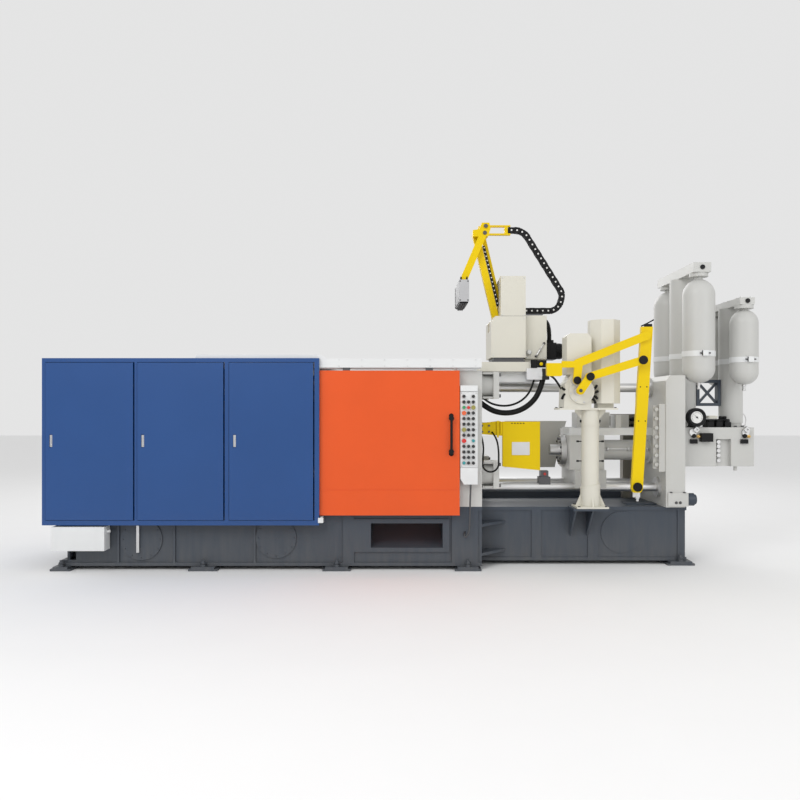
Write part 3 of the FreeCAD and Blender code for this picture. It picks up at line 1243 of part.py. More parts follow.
def ladler_column():
    """Round column with its flange, gussets and sleeve."""
    c = V(COLUMN_X, COLUMN_Y, 0)
    flange = box((c.x - 179, c.x + 172), (c.y - 150, c.y + 138), (BRACKET_Z, BRACKET_Z + 18))
    tube = rod_z(c.x, c.y, BRACKET_Z, COLUMN_TOP, COLUMN_R)
    sleeve = cut(rod_z(c.x, c.y, BRACKET_Z, BRACKET_Z + 280, COLUMN_R + 12),
                 [plate_xz([(c.x - 300, BRACKET_Z + 180), (c.x + 300, BRACKET_Z + 320),
                            (c.x + 300, BRACKET_Z + 600), (c.x - 300, BRACKET_Z + 600)],
                           (c.y - 300, c.y + 300))])
    foot_gussets = [plate_xz([(c.x + s * COLUMN_R, BRACKET_Z + 18), (c.x + s * 165, BRACKET_Z + 18),
                              (c.x + s * COLUMN_R, BRACKET_Z + 170)], (c.y - 9, c.y + 9))
                    for s in (-1, 1)]
    front_gusset = plate_yz([(c.y - COLUMN_R, BRACKET_Z + 18), (c.y - 145, BRACKET_Z + 18),
                             (c.y - COLUMN_R, BRACKET_Z + 150)], (c.x - 9, c.x + 9))
    ring = rod_z(c.x, c.y, COLUMN_TOP - 178, COLUMN_TOP - 160, COLUMN_R + 6)
    top_gussets = [plate_xz([(c.x + s * (COLUMN_R - 5), COLUMN_TOP - 110), (c.x + s * 170, COLUMN_TOP - 22),
                             (c.x + s * 170, COLUMN_TOP), (c.x + s * (COLUMN_R - 5), COLUMN_TOP)],
                            (c.y - 9, c.y + 9)) for s in (-1, 1)]
    return fuse([flange, tube, sleeve, front_gusset, ring] + foot_gussets + top_gussets)


def ladler_top_plate():
    return box((1629, 2280), (-750, -450), (COLUMN_TOP, COLUMN_TOP + 20))


def ladler_gearbox():
    """Gearbox housing on the top plate, with its round face and the two fixed pivots."""
    z0 = COLUMN_TOP + 20
    housing = plate_xz([(1680, z0), (1985, z0), (1985, 2040), (1940, 2150), (1760, 2150), (1690, 2030)],
                       (-745, -460))
    disc = rod_y(1871, LADLER_FACE_Y, -740, 1965, 139)
    boss = rod_y(ARM_PIVOT.x, MAIN_ARM_Y[1] + GAP, -740, ARM_PIVOT.z, 52)
    hub = rod_y(CRANK_PIVOT.x, LADLER_FACE_Y - 12, -740, CRANK_PIVOT.z, 46)
    arm_pin = rod_y(ARM_PIVOT.x, MAIN_ARM_Y[0] - 3, -740, ARM_PIVOT.z, LADLER_PIN_R)
    crank_pin = rod_y(CRANK_PIVOT.x, CRANK_Y[0] - 3, -740, CRANK_PIVOT.z, LADLER_PIN_R)
    return fuse([housing, disc, boss, hub, arm_pin, crank_pin])


def ladler_motor_cover():
    """Arched sheet cover over the motor, standing on the gearbox."""
    xs = (1712.0, 1985.0)
    ys = (-745.0, -500.0)
    outline = [(xs[0], 2150), (xs[1], 2150), (xs[1], 2560), (xs[1] - 40, 2606), (xs[0] + 40, 2606),
               (xs[0], 2575)]
    return plate_xz(outline, ys)


def ladler_tall_cover():
    """Tall eight-sided cover of the counterbalance, standing on the top plate."""
    cx, cy = 2163.0, -585.0
    rx, ry = 165.0, 158.0
    corner = math.tan(math.radians(22.5))
    points = [(rx, ry * corner), (rx * corner, ry), (-rx * corner, ry), (-rx, ry * corner),
              (-rx, -ry * corner), (-rx * corner, -ry), (rx * corner, -ry), (rx, -ry * corner)]
    outline = [(cx + x, cy + y) for x, y in points]
    foot = box((cx - 90, cx + 90), (cy - 80, cy + 80), (COLUMN_TOP + 20, 1831))
    return fuse([plate_xy(outline, (1831, 2763)), foot])


def ladler_main_arm():
    """Bent main arm with its web to the pivot and the balance box at its left end."""
    ys = MAIN_ARM_Y
    upper = link(ARM_BEND, ARM_END, LADLER_ARM_WIDTH, ys, 0, 0)
    web = plate_xz([(1773, 2240), (1761, 2082), (1845, 2082), (1868, 2290), (1811, 2300)], ys)
    eye = rod_y(ARM_PIVOT.x, ys[0], ys[1], ARM_PIVOT.z, 42)
    bar = box((1637, ARM_BEND.x), ys, (ARM_BEND.z - 49, ARM_BEND.z + 22))
    weight = plate_xz([(1484, 2129), (1626, 2129), (1638, 2142), (1638, 2271), (1471, 2271),
                       (1471, 2142)], (ys[0] - 3, ys[1] + 26))
    holes = [rod_y(p.x, ys[0] - 1, ys[1] + 1, p.z, LADLER_PIN_R + RUN) for p in (ARM_PIVOT, ARM_END)]
    return cut(fuse([upper, web, eye, bar, weight]), holes)


def ladler_crank():
    """Crank on the gearbox's shaft; its outer end carries a hub behind it and a cap."""
    ys = CRANK_Y
    body = link(CRANK_PIVOT, CRANK_END, 88, ys, LADLER_PIN_R, 0)
    pin = rod_y(CRANK_END.x, ys[0] - 14, LINK_Y[1] - 2, CRANK_END.z, LADLER_PIN_R)
    cap = rod_y(CRANK_END.x, ys[0] - 14, ys[0], CRANK_END.z, CAP_R)
    return fuse([body, pin, cap])


def ladler_link():
    """Lower link from the crank to the hanging arm, with the cap of its far pivot."""
    ys = LINK_Y
    bar = link(CRANK_END, LINK_END, LADLER_LINK_WIDTH, ys, LADLER_PIN_R, 0)
    cap = rod_y(LINK_END.x, ys[0] - 14, ys[0], LINK_END.z, CAP_R + 4)
    return fuse([bar, cap])


def ladler_hanging_arm():
    """Long hanging arm with its top pin, the link's boss and the bearing of the wrist."""
    ys = HANGING_ARM_Y
    top, foot = V(2577, 0, 2672), V(LADLE_PIVOT.x, 0, LADLE_PIVOT.z)
    outline = [(top.x - 60, top.z), (top.x + 66, top.z), (foot.x + 62, foot.z - 20),
               (foot.x + 40, foot.z - 62), (foot.x - 40, foot.z - 62), (foot.x - 62, foot.z - 20)]
    bar = plate_xz(outline, ys)
    pin = rod_y(ARM_END.x, MAIN_ARM_Y[0] - 2, ys[0] + 1, ARM_END.z, LADLER_PIN_R)
    boss = rod_y(LINK_END.x, LINK_Y[1] + GAP, ys[0] + 1, LINK_END.z, 34)
    hole = rod_y(foot.x, ys[0] - 1, ys[1] + 1, foot.z, LADLER_PIN_R + RUN)
    return cut(fuse([bar, pin, boss]), [hole])


def ladle_wrist():
    """Short shaft at the foot of the hanging arm, with its cap and the ladle's bracket."""
    p = LADLE_PIVOT
    ys = HANGING_ARM_Y
    shaft = rod_y(p.x, ys[0] - 20, ys[1] + 26, p.z, LADLER_PIN_R)
    cap = rod_y(p.x, ys[0] - 20, ys[0] - GAP, p.z, 50)
    back = box((p.x - 30, p.x + 50), (ys[1] + 8, ys[1] + 26), (p.z - 120, p.z + 35))
    return fuse([shaft, cap, back])


# ---------------------------------------------------------------- hanging hoses
def hose(points, r):
    """A round hose along straight runs joined by tangent arcs, as large as they allow."""
    edges, radii = [], []
    at = points[0]
    for before, corner, after in zip(points, points[1:], points[2:]):
        u, w = (before - corner), (after - corner)
        shorter = min(u.Length, w.Length)
        turn = math.pi - u.getAngle(w)
        reach = 0.45 * shorter
        radius = reach / math.tan(turn / 2)
        radii.append(radius)
        u.normalize()
        w.normalize()
        start, end = corner + u * reach, corner + w * reach
        bisector = (u + w).normalize()
        centre = corner + bisector * (radius / math.cos(turn / 2))
        middle = centre - bisector * radius
        edges.append(Part.LineSegment(at, start).toShape())
        edges.append(Part.Arc(start, middle, end).toShape())
        at = end
    edges.append(Part.LineSegment(at, points[-1]).toShape())
    path = Part.Wire(edges)
    ring = Part.Wire(Part.makeCircle(r, points[0], points[1] - points[0]))
    tube = path.makePipeShell([ring], True, False)
    share = tube.Volume / (math.pi * r * r * path.Length)
    print(f"  hose r {r:4.1f}  length {path.Length:7.1f}  tightest arc {min(radii):6.1f}"
          f"  volume share {share:.4f}")
    return tube


def hanging(start, y_end, run, headings):
    """Points of a hose that hangs in a bow: equal runs, each turned a little from the last."""
    points = [start]
    for i, degrees in enumerate(headings):
        a = math.radians(degrees)
        last = points[-1]
        y = start.y + (y_end - start.y) * (i + 1) / len(headings)
        points.append(V(last.x + run * math.cos(a), y, last.z + run * math.sin(a)))
    return points


def hose_loop():
    """Thin hose from the platen's face, hung in a loop and up to the splash guard's bracket."""
    side, y = 90.0, -700.0
    centre = V(874, y, 1160)
    points = [V(PLATEN_FACE_X - 10, y, 1500), V(800, y, 1400)]
    for degrees in (198, 234, 270, 306, 342):
        a = math.radians(degrees)
        reach = side / math.cos(math.radians(18))
        points.append(V(centre.x + reach * math.cos(a), y, centre.z + reach * math.sin(a)))
    points += [V(centre.x + side + 2, y + 10, 1310), V(960, -560, 1440), V(937, -318, 1500)]
    return hose(points, 10)


def hose_bundle():
    """Thick bundle between the fixed platen and the fitting on the sprayer's deck."""
    start = V(PLATEN_FACE_X - 10, -290, 1880)
    return hose(hanging(start, -272, 175, (-40, -17, 6, 29, 52, 75)), 32)


def hose_sprayer():
    """Thin hose that hangs above the bundle."""
    start = V(PLATEN_FACE_X - 10, -322, 1965)
    return hose(hanging(start, -272, 153, (-45, -20, 1, 25, 50, 75)), 12)


def hose_ladler():
    """Hose from the fitting to the ladler's gearbox."""
    return hose([V(1592, -272, 2178), V(1640, -345, 2140), V(1666, -430, 2082), V(1688, -515, 2015),
                 V(1716, -590, 1955)], 12)


# ---------------------------------------------------------------- build
def main():
    os.makedirs("parts", exist_ok=True)
    save("base_clamp_section", fuse([base_clamp_section()] + base_covers()))
    save("base_shot_section", base_shot_section())
    save("levelling_feet", levelling_feet())
    save("base_fittings", [junction_box(), oil_gauge()])
    save("fixed_platen", fixed_platen())
    save("moving_platen", moving_platen())
    save("end_platen", end_platen())
    save("tie_bars", tie_bars())
    save("tie_bar_nuts", tie_bar_nuts())
    save("clamp_fittings", slide_strips() + adjusting_nuts())
    save("toggle_links", toggle_links())
    save("toggle_pins", toggle_pins())
    save("toggle_crosshead", toggle_crosshead())
    save("clamp_cylinder", clamp_cylinder())
    brackets = guard_brackets()
    save("guard_frames", [fuse([guard_front_frame()] + [b for b in brackets if b.BoundBox.YMax < 0]),
                          fuse([guard_rear_frame()] + [b for b in brackets if b.BoundBox.YMin > 0])])
    save("guard_panels", guard_rear_panels() + [guard_end_panel()])
    save("guard_roof", guard_roof())
    for i, span in enumerate(LEAVES):
        save(f"guard_door_{i + 1}", guard_leaf(span))
    save("front_door", door_panel())
    save("door_handle", door_handle())
    save("door_hangers", door_hangers() + door_rollers())
    save("door_rails", [door_rail(), mirrored(door_rail()), door_guide()])
    save("door_rail_covers", [door_rail_cover(), mirrored(door_rail_cover())])
    save("rear_door", rear_door())
    save("control_panel", control_panel())
    save("panel_buttons", panel_buttons())
    save("shot_frame_plate", fuse([shot_frame_plate(), shot_strip_plate()] + lifting_stubs()))
    save("shot_frame_bars", shot_frame_bars() + shot_bar_collars())
    save("shot_block", fuse([shot_block()] + shot_beams()))
    save("shot_cylinder", shot_cylinder())
    save("shot_valves", shot_valve_block() + [rear_valve_stand(), lubricator()])
    save("plunger_rod", plunger_rod())
    save("splash_guards", [splash_guard_front(), splash_guard_rear()])
    save("manifold_block", manifold_block())
    save("manifold_valves", manifold_valves())
    save("pressure_gauge", pressure_gauge())
    save("piston_accumulators", piston_accumulators())
    save("nitrogen_bottles", nitrogen_bottles())
    save("bottle_beams", bottle_beams())
    save("bottle_straps", bottle_straps() + [accumulator_brace()])
    save("sprayer_deck", fuse([sprayer_support_beam(), sprayer_deck(), sprayer_fitting()]))
    save("sprayer_cabinet", fuse([sprayer_cabinet(), sprayer_control_box(), chain_tray()]))
    save("sprayer_drive", sprayer_drive())
    save("sprayer_upper_arm", sprayer_upper_arm())
    save("sprayer_tie_bar", sprayer_tie_bar())
    save("sprayer_forearm", sprayer_forearm())
    save("spray_head", spray_head())
    save("sprayer_chain", sprayer_chain())
    save("ladler_column", fuse([ladler_bracket(), ladler_column(), ladler_top_plate()]))
    save("ladler_head", [fuse([ladler_gearbox(), ladler_motor_cover()]), ladler_tall_cover()])
    save("ladler_main_arm", ladler_main_arm())
    save("ladler_crank", ladler_crank())
    save("ladler_link", ladler_link())
    save("ladler_hanging_arm", ladler_hanging_arm())
    save("ladle_wrist", ladle_wrist())
    save("hose_bundle", hose_bundle())
    save("hose_sprayer", [hose_sprayer(), hose_loop()])
    save("hose_ladler", hose_ladler())


main()
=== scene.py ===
# %% [markdown]
# # A die casting machine
# The machine squirts molten aluminium into a steel die and holds the die shut with a toggle.
# Its big shapes come from a CAD model, which is loaded here as a fixed frame: each node
# arrives as a mesh that is already in place. What is added here is what a drawing office
# leaves out: finishes, bolts, chain links, hoses, valves and gauges.

# %% Load the frame
import json
import math
import bmesh
import bpy
import numpy as np
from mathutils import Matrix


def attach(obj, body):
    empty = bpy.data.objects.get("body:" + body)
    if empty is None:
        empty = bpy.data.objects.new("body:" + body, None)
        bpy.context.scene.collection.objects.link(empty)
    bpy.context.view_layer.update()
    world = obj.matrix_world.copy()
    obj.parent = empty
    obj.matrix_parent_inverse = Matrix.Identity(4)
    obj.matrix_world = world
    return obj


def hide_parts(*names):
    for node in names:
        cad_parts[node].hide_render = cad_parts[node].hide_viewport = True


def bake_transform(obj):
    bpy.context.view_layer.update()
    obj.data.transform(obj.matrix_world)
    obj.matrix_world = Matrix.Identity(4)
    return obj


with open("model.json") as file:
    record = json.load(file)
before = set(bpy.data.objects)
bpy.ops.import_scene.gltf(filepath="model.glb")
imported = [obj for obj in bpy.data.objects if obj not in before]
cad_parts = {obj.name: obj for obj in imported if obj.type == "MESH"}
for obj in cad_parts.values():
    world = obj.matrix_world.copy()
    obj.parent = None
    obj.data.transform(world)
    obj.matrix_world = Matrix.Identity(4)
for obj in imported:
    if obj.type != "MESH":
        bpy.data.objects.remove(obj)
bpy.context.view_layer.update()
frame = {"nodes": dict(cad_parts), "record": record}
nodes = frame["nodes"]

# %% [markdown]
# ## Camera
# A level camera at eye height keeps upright edges upright. It could be tilted to centre a
# tall machine, but its sides would then lean, so a small shift is used instead.

# %% Camera
lens = bpy.data.cameras.new("view")
lens.lens, lens.sensor_width, lens.shift_y = 34.2, 36.0, 0.01
lens.clip_end = 200.0
camera = bpy.data.objects.new("view", lens)
camera.location = (-0.133, -9.150, 1.780)
camera.rotation_euler = (math.pi / 2, 0.0, 0.0)
bpy.context.collection.objects.link(camera)
bpy.context.scene.camera = camera
print("camera", tuple(round(c, 3) for c in camera.location))

# %% [markdown]
# ## Meshes from arrays
# Every new piece is worked out as arrays of points: a profile turned about an axis, an
# outline pushed through a depth, or a section carried along a path. Whole arrays are quicker
# than adding one vertex at a time, and a formula is easy to change later.

# %% Mesh helpers
def piece(name, points, faces, finish=None, smooth=False, body="frame", slot="grey_paint"):
    """A mesh object at the origin from points and faces. Each face is turned outwards: a
    closed shell that faces out has a positive volume, and one that faces in a negative one."""
    mesh = bpy.data.meshes.new(name)
    mesh.from_pydata(np.asarray(points, float).tolist(), [], faces)
    shell = bmesh.new()
    shell.from_mesh(mesh)
    bmesh.ops.recalc_face_normals(shell, faces=shell.faces)
    if shell.calc_volume(signed=True) < 0:
        bmesh.ops.reverse_faces(shell, faces=shell.faces)
    shell.to_mesh(mesh)
    shell.free()
    mesh.polygons.foreach_set("use_smooth", np.full(len(mesh.polygons), smooth))
    thing = bpy.data.objects.new(name, mesh)
    bpy.context.collection.objects.link(thing)
    if finish is not None:
        mesh.materials.append(finish)
    if body is not None:
        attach(thing, body)
    return thing


def grid_faces(rows, sides):
    """Quads between neighbouring rings of a closed grid, with a fan's worth of caps as n-gons."""
    i, j = np.meshgrid(np.arange(rows - 1), np.arange(sides), indexing="ij")
    a, b = i * sides + j, i * sides + (j + 1) % sides
    quads = np.stack([a, b, b + sides, a + sides], -1).reshape(-1, 4).tolist()
    low = list(range(sides))[::-1]
    high = list(range((rows - 1) * sides, rows * sides))
    return quads + [low, high]


def turned(profile, sides=24):
    """Solid of revolution about Z: each (radius, height) of the profile becomes a ring."""
    r, z = np.asarray(profile, float).T
    t = np.arange(sides) * 2 * np.pi / sides
    ring = np.stack([np.cos(t), np.sin(t)], -1)
    points = np.concatenate([r[:, None, None] * ring[None], np.broadcast_to(z[:, None, None],
                            (len(r), sides, 1))], -1)
    return points.reshape(-1, 3), grid_faces(len(r), sides)


def bar(size, chamfer=0.0):
    """Box of that (x, y, z) size on Z = 0, its upright edges cut by the chamfer."""
    x, y, z = (s / 2 for s in size)
    c = chamfer
    outline = np.array([(x, -y + c), (x, y - c), (x - c, y), (-x + c, y), (-x, y - c),
                        (-x, -y + c), (-x + c, -y), (x - c, -y)])
    if c == 0:
        outline = outline[[0, 1, 4, 5]]
    inset = min(size) * 0.06
    small = outline * (1 - 2 * inset / np.array(size[:2]))
    rows = [(small, 0), (outline, inset), (outline, size[2] - inset), (small, size[2])]
    points = np.concatenate([np.c_[o, np.full(len(o), h)] for o, h in rows])
    return points, grid_faces(4, len(outline))


def pushed(outline, lo, hi, axis="y"):
    """Outline of (u, v) points pushed from lo to hi along an axis; x, y or z is that axis."""
    o = np.asarray(outline, float)
    area = np.sum(o[:, 0] * np.roll(o[:, 1], -1) - np.roll(o[:, 0], -1) * o[:, 1])
    if (area > 0) == (axis == "y"):
        o = o[::-1]
    n = len(o)
    ring = [np.insert(o, "xyz".index(axis), h, axis=1) for h in (lo, hi)]
    return np.concatenate(ring), grid_faces(2, n)


TURN = {"z": np.eye(3), "-z": np.diag([1.0, -1.0, -1.0]),
        "x": np.array([[0, 0, 1], [1, 0, 0], [0, 1, 0.0]]),
        "-x": np.array([[0, 0, -1], [0, 1, 0], [1, 0, 0.0]]),
        "y": np.array([[0, 1, 0], [0, 0, 1], [1, 0, 0.0]]),
        "-y": np.array([[1, 0, 0], [0, 0, -1], [0, 1, 0.0]])}


def stood(shape, at=(0, 0, 0), axis="z"):
    """A Z-built shape stood on an axis and moved to a place."""
    points, faces = shape
    return points @ TURN[axis].T + np.asarray(at, float), faces


def copies(shape, places, axis="z"):
    """One mesh of the shape at every place: the places are added to the points by broadcasting."""
    points, faces = stood(shape, axis=axis)
    p = (np.asarray(places, float)[:, None] + points[None]).reshape(-1, 3)
    step = len(points)
    return p, [[v + step * k for v in f] for k in range(len(places)) for f in faces]


def joined(*shapes):
    """Several shapes as one."""
    points, faces, start = [], [], 0
    for p, f in shapes:
        points.append(p)
        faces += [[v + start for v in face] for face in f]
        start += len(p)
    return np.concatenate(points), faces


def ring_of(centre, radius, count, axis="z", start=0.0):
    """Evenly spaced places on a circle round an axis."""
    t = start + np.arange(count) * 2 * np.pi / count
    flat = np.stack([radius * np.cos(t), radius * np.sin(t), 0 * t], -1)
    return flat @ TURN[axis].T + np.asarray(centre, float)


def box(x, y, z):
    """Plain box between limits, as a shape, with its edges eased a little."""
    size = (x[1] - x[0], y[1] - y[0], z[1] - z[0])
    middle = ((x[0] + x[1]) / 2, (y[0] + y[1]) / 2, z[0])
    return stood(bar(size, min(size[:2]) * 0.08), middle)


def ease(thing, width, segments=2):
    """Bevel modifier that rounds a piece's sharp edges."""
    bevel = thing.modifiers.new("eased", "BEVEL")
    bevel.width, bevel.segments, bevel.limit_method = width, segments, "ANGLE"
    return thing


HEX_SCREW = turned([(1.0, 0.0), (1.0, 0.55), (0.9, 0.66)], 6)
CAP_SCREW = turned([(1.0, 0.0), (1.0, 0.85), (0.9, 1.0), (0.5, 1.0), (0.42, 0.6)], 12)


def screw(radius, kind="hex"):
    """Hexagon or socket-head screw of that head radius, standing on Z = 0."""
    points, faces = HEX_SCREW if kind == "hex" else CAP_SCREW
    washer = turned([(1.25 * radius, 0), (1.25 * radius, 0.14 * radius)], 12)
    return joined(washer, (points * radius + (0, 0, 0.12 * radius), faces))


print("screw head", len(screw(0.01)[1]), "faces")

# %% [markdown]
# ## Shader maths in plain Python
# A material is a graph of nodes. Written by hand such a graph is long, so a small class
# stands for a node's output: adding or multiplying two of them adds the Math node.

# %% Shader helpers
class Wire:
    """A socket that adds Math nodes when it meets an operator."""

    def __init__(self, finish, socket):
        self.finish, self.socket = finish, socket

    def math(self, kind, *others):
        return self.finish.add("Math", {"operation": kind}, dict(enumerate((self,) + others)))

    def __add__(self, other): return self.math("ADD", other)
    def __mul__(self, other): return self.math("MULTIPLY", other)
    def __sub__(self, other): return self.math("SUBTRACT", other)
    def __truediv__(self, other): return self.math("DIVIDE", other)
    def __rsub__(self, other): return (self * -1.0) + other
    def above(self, limit): return self.math("GREATER_THAN", limit)
    def below(self, limit): return self.math("LESS_THAN", limit)
    def clipped(self): return self.math("MAXIMUM", 0.0).math("MINIMUM", 1.0)
    __radd__, __rmul__ = __add__, __mul__


class Finish:
    """One material: its node graph and the shader at its end."""

    def __init__(self, name, **sockets):
        self.material = bpy.data.materials.new(name)
        self.material.use_nodes = True
        self.tree = self.material.node_tree
        self.shader = self.tree.nodes["Principled BSDF"]
        for label, value in sockets.items():
            self.shader.inputs[label.replace("_", " ")].default_value = value
        self.place = self.add("TexCoord", out="Object")

    def add(self, kind, settings=None, values=None, out=0):
        """Any node: its type, then its settings, then the values or links of its sockets."""
        node = self.tree.nodes.new("ShaderNode" + kind)
        for label, value in (settings or {}).items():
            if label == "stops":
                for k, (at, colour) in enumerate(value):
                    stop = node.color_ramp.elements[k] if k < 2 else node.color_ramp.elements.new(at)
                    stop.position, stop.color = at, colour
            else:
                setattr(node, label, value)
        for label, value in (values or {}).items():
            if isinstance(value, Wire):
                self.tree.links.new(value.socket, node.inputs[label])
            else:
                node.inputs[label].default_value = value
        return Wire(self, node.outputs[out])

    def noise(self, scale, detail=3.0, rough=0.5, place=None):
        return self.add("TexNoise", None, {"Vector": place or self.place, "Scale": scale,
                                           "Detail": detail, "Roughness": rough})

    def stretched(self, x, y, z):
        """Object coordinates scaled by different amounts, for streaks and brush marks."""
        return self.add("Mapping", None, {"Vector": self.place, "Scale": (x, y, z)})

    def height(self, axis="Z"):
        return self.add("SeparateXYZ", None, {"Vector": self.place}, out=axis)

    def blend(self, factor, a, b):
        """Mix of two colours."""
        return self.add("Mix", {"data_type": "RGBA"}, {0: factor, 6: a, 7: b}, out=2)

    def feed(self, colour=None, rough=None, metal=None, bump=None, strength=0.1, distance=0.001):
        for label, wire in (("Base Color", colour), ("Roughness", rough), ("Metallic", metal)):
            if wire is not None:
                self.tree.links.new(wire.socket, self.shader.inputs[label])
        if bump is not None:
            normal = self.add("Bump", None, {"Height": bump, "Strength": strength,
                                             "Distance": distance})
            self.tree.links.new(normal.socket, self.shader.inputs["Normal"])
        return self.material


def rgb(colour, gain=1.0):
    """Colour with full alpha, made lighter or darker by the gain."""
    return tuple(min(1.0, c * gain) for c in colour) + (1.0,)


# %% [markdown]
# ## Finishes
# Sprayed paint isn't one flat colour: it has a fine orange peel, small shifts of tone where
# coats overlap, and dust near the floor. Three noises at different scales give these, and
# the same recipe makes all the paints, with coarser bumps where it covers cast iron.

# %% Paints
def paint(name, colour, rough=0.38, peel=0.12, cast=0.0, dust=0.25, dust_top=0.7, coat=0.0,
          wear=0.12, shine=0.5):
    """Sprayed paint: tone drift, rubbed spots, orange peel, and dust that fades with height."""
    f = Finish(name, Coat_Weight=coat, Coat_Roughness=0.2, Specular_IOR_Level=shine)
    drift = f.noise(1.7, 4.0)
    tone = f.blend(drift, rgb(colour, 0.93), rgb(colour, 1.07))
    spots = ((f.noise(23.0, 5.0, 0.7) - 0.60) * 6.0).clipped() * wear
    tone = f.blend(spots, tone, rgb(colour, 0.72))
    streaks = f.noise(3.0, 3.0, 0.6, f.stretched(5.0, 5.0, 0.6))
    low = (1.0 - f.height() / dust_top).clipped() * streaks * dust
    tone = f.blend(low, tone, (0.20, 0.185, 0.16, 1.0))
    gloss = rough + (drift - 0.5) * 0.12 + low * 0.3 + spots * 0.3
    skin = f.noise(420.0, 2.0) * peel + f.noise(38.0, 4.0, 0.65) * cast
    return f.feed(tone, gloss, bump=skin, strength=0.35, distance=0.0012)


SLATE = (0.036, 0.049, 0.070)
paints = {
    "slate_paint": paint("slate_paint", SLATE, 0.42, cast=0.25, dust=0.45, dust_top=0.75),
    "grey_paint": paint("grey_paint", (0.53, 0.53, 0.51), 0.40, cast=0.5, dust=0.1),
    "blue_paint": paint("blue_paint", (0.004, 0.056, 0.215), 0.36, coat=0.10, dust=0.15),
    "orange_paint": paint("orange_paint", (0.73, 0.080, 0.0), 0.38, coat=0.05, dust=0.1),
    "white_paint": paint("white_paint", (0.72, 0.73, 0.73), 0.38, dust=0.1),
    "beige_paint": paint("beige_paint", (0.66, 0.64, 0.56), 0.40, cast=0.15, dust=0.1),
    "yellow_paint": paint("yellow_paint", (0.77, 0.545, 0.0), 0.42, dust=0.1, shine=0.2),
    "brown_paint": paint("brown_paint", (0.20, 0.185, 0.15), 0.45, cast=0.4, dust=0.1),
}
print(len(paints), "paints")

# %% [markdown]
# ## Metal, plastic and rubber
# Bare steel is brushed or ground: a noise stretched along one direction moves its roughness,
# so highlights break into fine lines. Plastic has a moulded grain and rubber is nearly dull.

# %% Steel, plastic, rubber
def metal(name, colour, rough, grain=(4.0, 60.0, 60.0), stain=0.06, scratch=0.12):
    """Metal with brush lines along the axis whose grain is smallest, and a few dull stains."""
    f = Finish(name, Metallic=1.0)
    lines = f.noise(9.0, 3.0, 0.6, f.stretched(*grain))
    cloudy = f.noise(4.0, 4.0)
    tone = f.blend(cloudy, rgb(colour, 0.86), rgb(colour, 1.08))
    marks = ((f.noise(14.0, 6.0, 0.75) - 0.62) * 5.0).clipped() * stain
    tone = f.blend(marks, tone, rgb(colour, 0.45))
    gloss = rough + (lines - 0.5) * 0.22 + marks * 0.4
    return f.feed(tone, gloss, bump=lines, strength=scratch, distance=0.0006)


def moulded(name, colour, rough=0.5, grain=300.0, depth=0.15):
    """Moulded plastic or rubber: fine leathery grain with small changes in gloss."""
    f = Finish(name, Specular_IOR_Level=0.2)
    pits = f.noise(grain, 3.0, 0.6)
    tone = f.blend(f.noise(11.0), rgb(colour, 0.8), rgb(colour, 1.25))
    return f.feed(tone, rough + (pits - 0.5) * 0.2, bump=pits, strength=depth, distance=0.0008)


steel = metal("steel", (0.70, 0.70, 0.70), 0.42)
steel_upright = metal("steel_upright", (0.60, 0.60, 0.61), 0.32, (60.0, 60.0, 4.0))
dark_steel = metal("dark_steel", (0.13, 0.13, 0.135), 0.42, stain=0.3)
black_plastic = moulded("black_plastic", (0.008, 0.008, 0.009), 0.45)
black_rubber = moulded("black_rubber", (0.008, 0.008, 0.008), 0.55, 180.0, 0.3)
brass = metal("brass", (0.62, 0.42, 0.16), 0.34)
finishes = dict(paints, steel=steel, black_plastic=black_plastic, black_rubber=black_rubber)
print(sorted(finishes))

# %% [markdown]
# ## Small colours
# Push-buttons, a sight glass and a gauge face need their own finishes. Clear caps get a
# smooth coat over a strong colour rather than real glass, which is cheaper and reads alike.

# %% Button and glass finishes
def cap_colour(name, colour, rough=0.25):
    """Glossy moulded cap with a faint swirl of tone."""
    f = Finish(name, Coat_Weight=0.6, Coat_Roughness=0.08)
    swirl = f.noise(60.0, 2.0)
    return f.feed(f.blend(swirl, rgb(colour, 0.85), rgb(colour, 1.1)),
                  rough + (swirl - 0.5) * 0.1, bump=swirl, strength=0.05)


button_black = cap_colour("button_black", (0.012, 0.012, 0.013))
button_red = cap_colour("button_red", (0.62, 0.02, 0.015))
button_green = cap_colour("button_green", (0.02, 0.30, 0.10))
button_olive = cap_colour("button_olive", (0.30, 0.27, 0.06))
button_teal = cap_colour("button_teal", (0.03, 0.28, 0.30))
button_orange = cap_colour("button_orange", (0.75, 0.12, 0.03))
red_glass = cap_colour("red_glass", (0.42, 0.02, 0.01), 0.12)
dial_white = cap_colour("dial_white", (0.80, 0.80, 0.78), 0.3)
# One near-black finish for real black marks (gauge ticks, needle, small screws) and for painted shade:
# dark strips laid where the vent slots and the cabinet seam are dark inside.
black_marks_and_gap_shade = moulded("black_marks_and_gap_shade", (0.008, 0.008, 0.009), 0.7)

# %% [markdown]
# ## Finishes for the CAD nodes
# Each node names its slot in the record, so most finishes follow from a table. Where one
# node holds pieces of different colour, the middle of each face says which finish it gets:
# the mesh itself stays as it is.

# %% Give every node its finish
def coloured(node, finish_list, chooser):
    """Several finishes on one node: chooser turns arrays of face centres into finish numbers."""
    mesh = nodes[node].data
    mesh.materials.clear()
    for finish in finish_list:
        mesh.materials.append(finish)
    n = len(mesh.polygons)
    centres = np.empty(n * 3)
    mesh.polygons.foreach_get("center", centres)
    x, y, z = centres.reshape(-1, 3).T
    mesh.polygons.foreach_set("material_index", chooser(x, y, z).astype(np.int32))


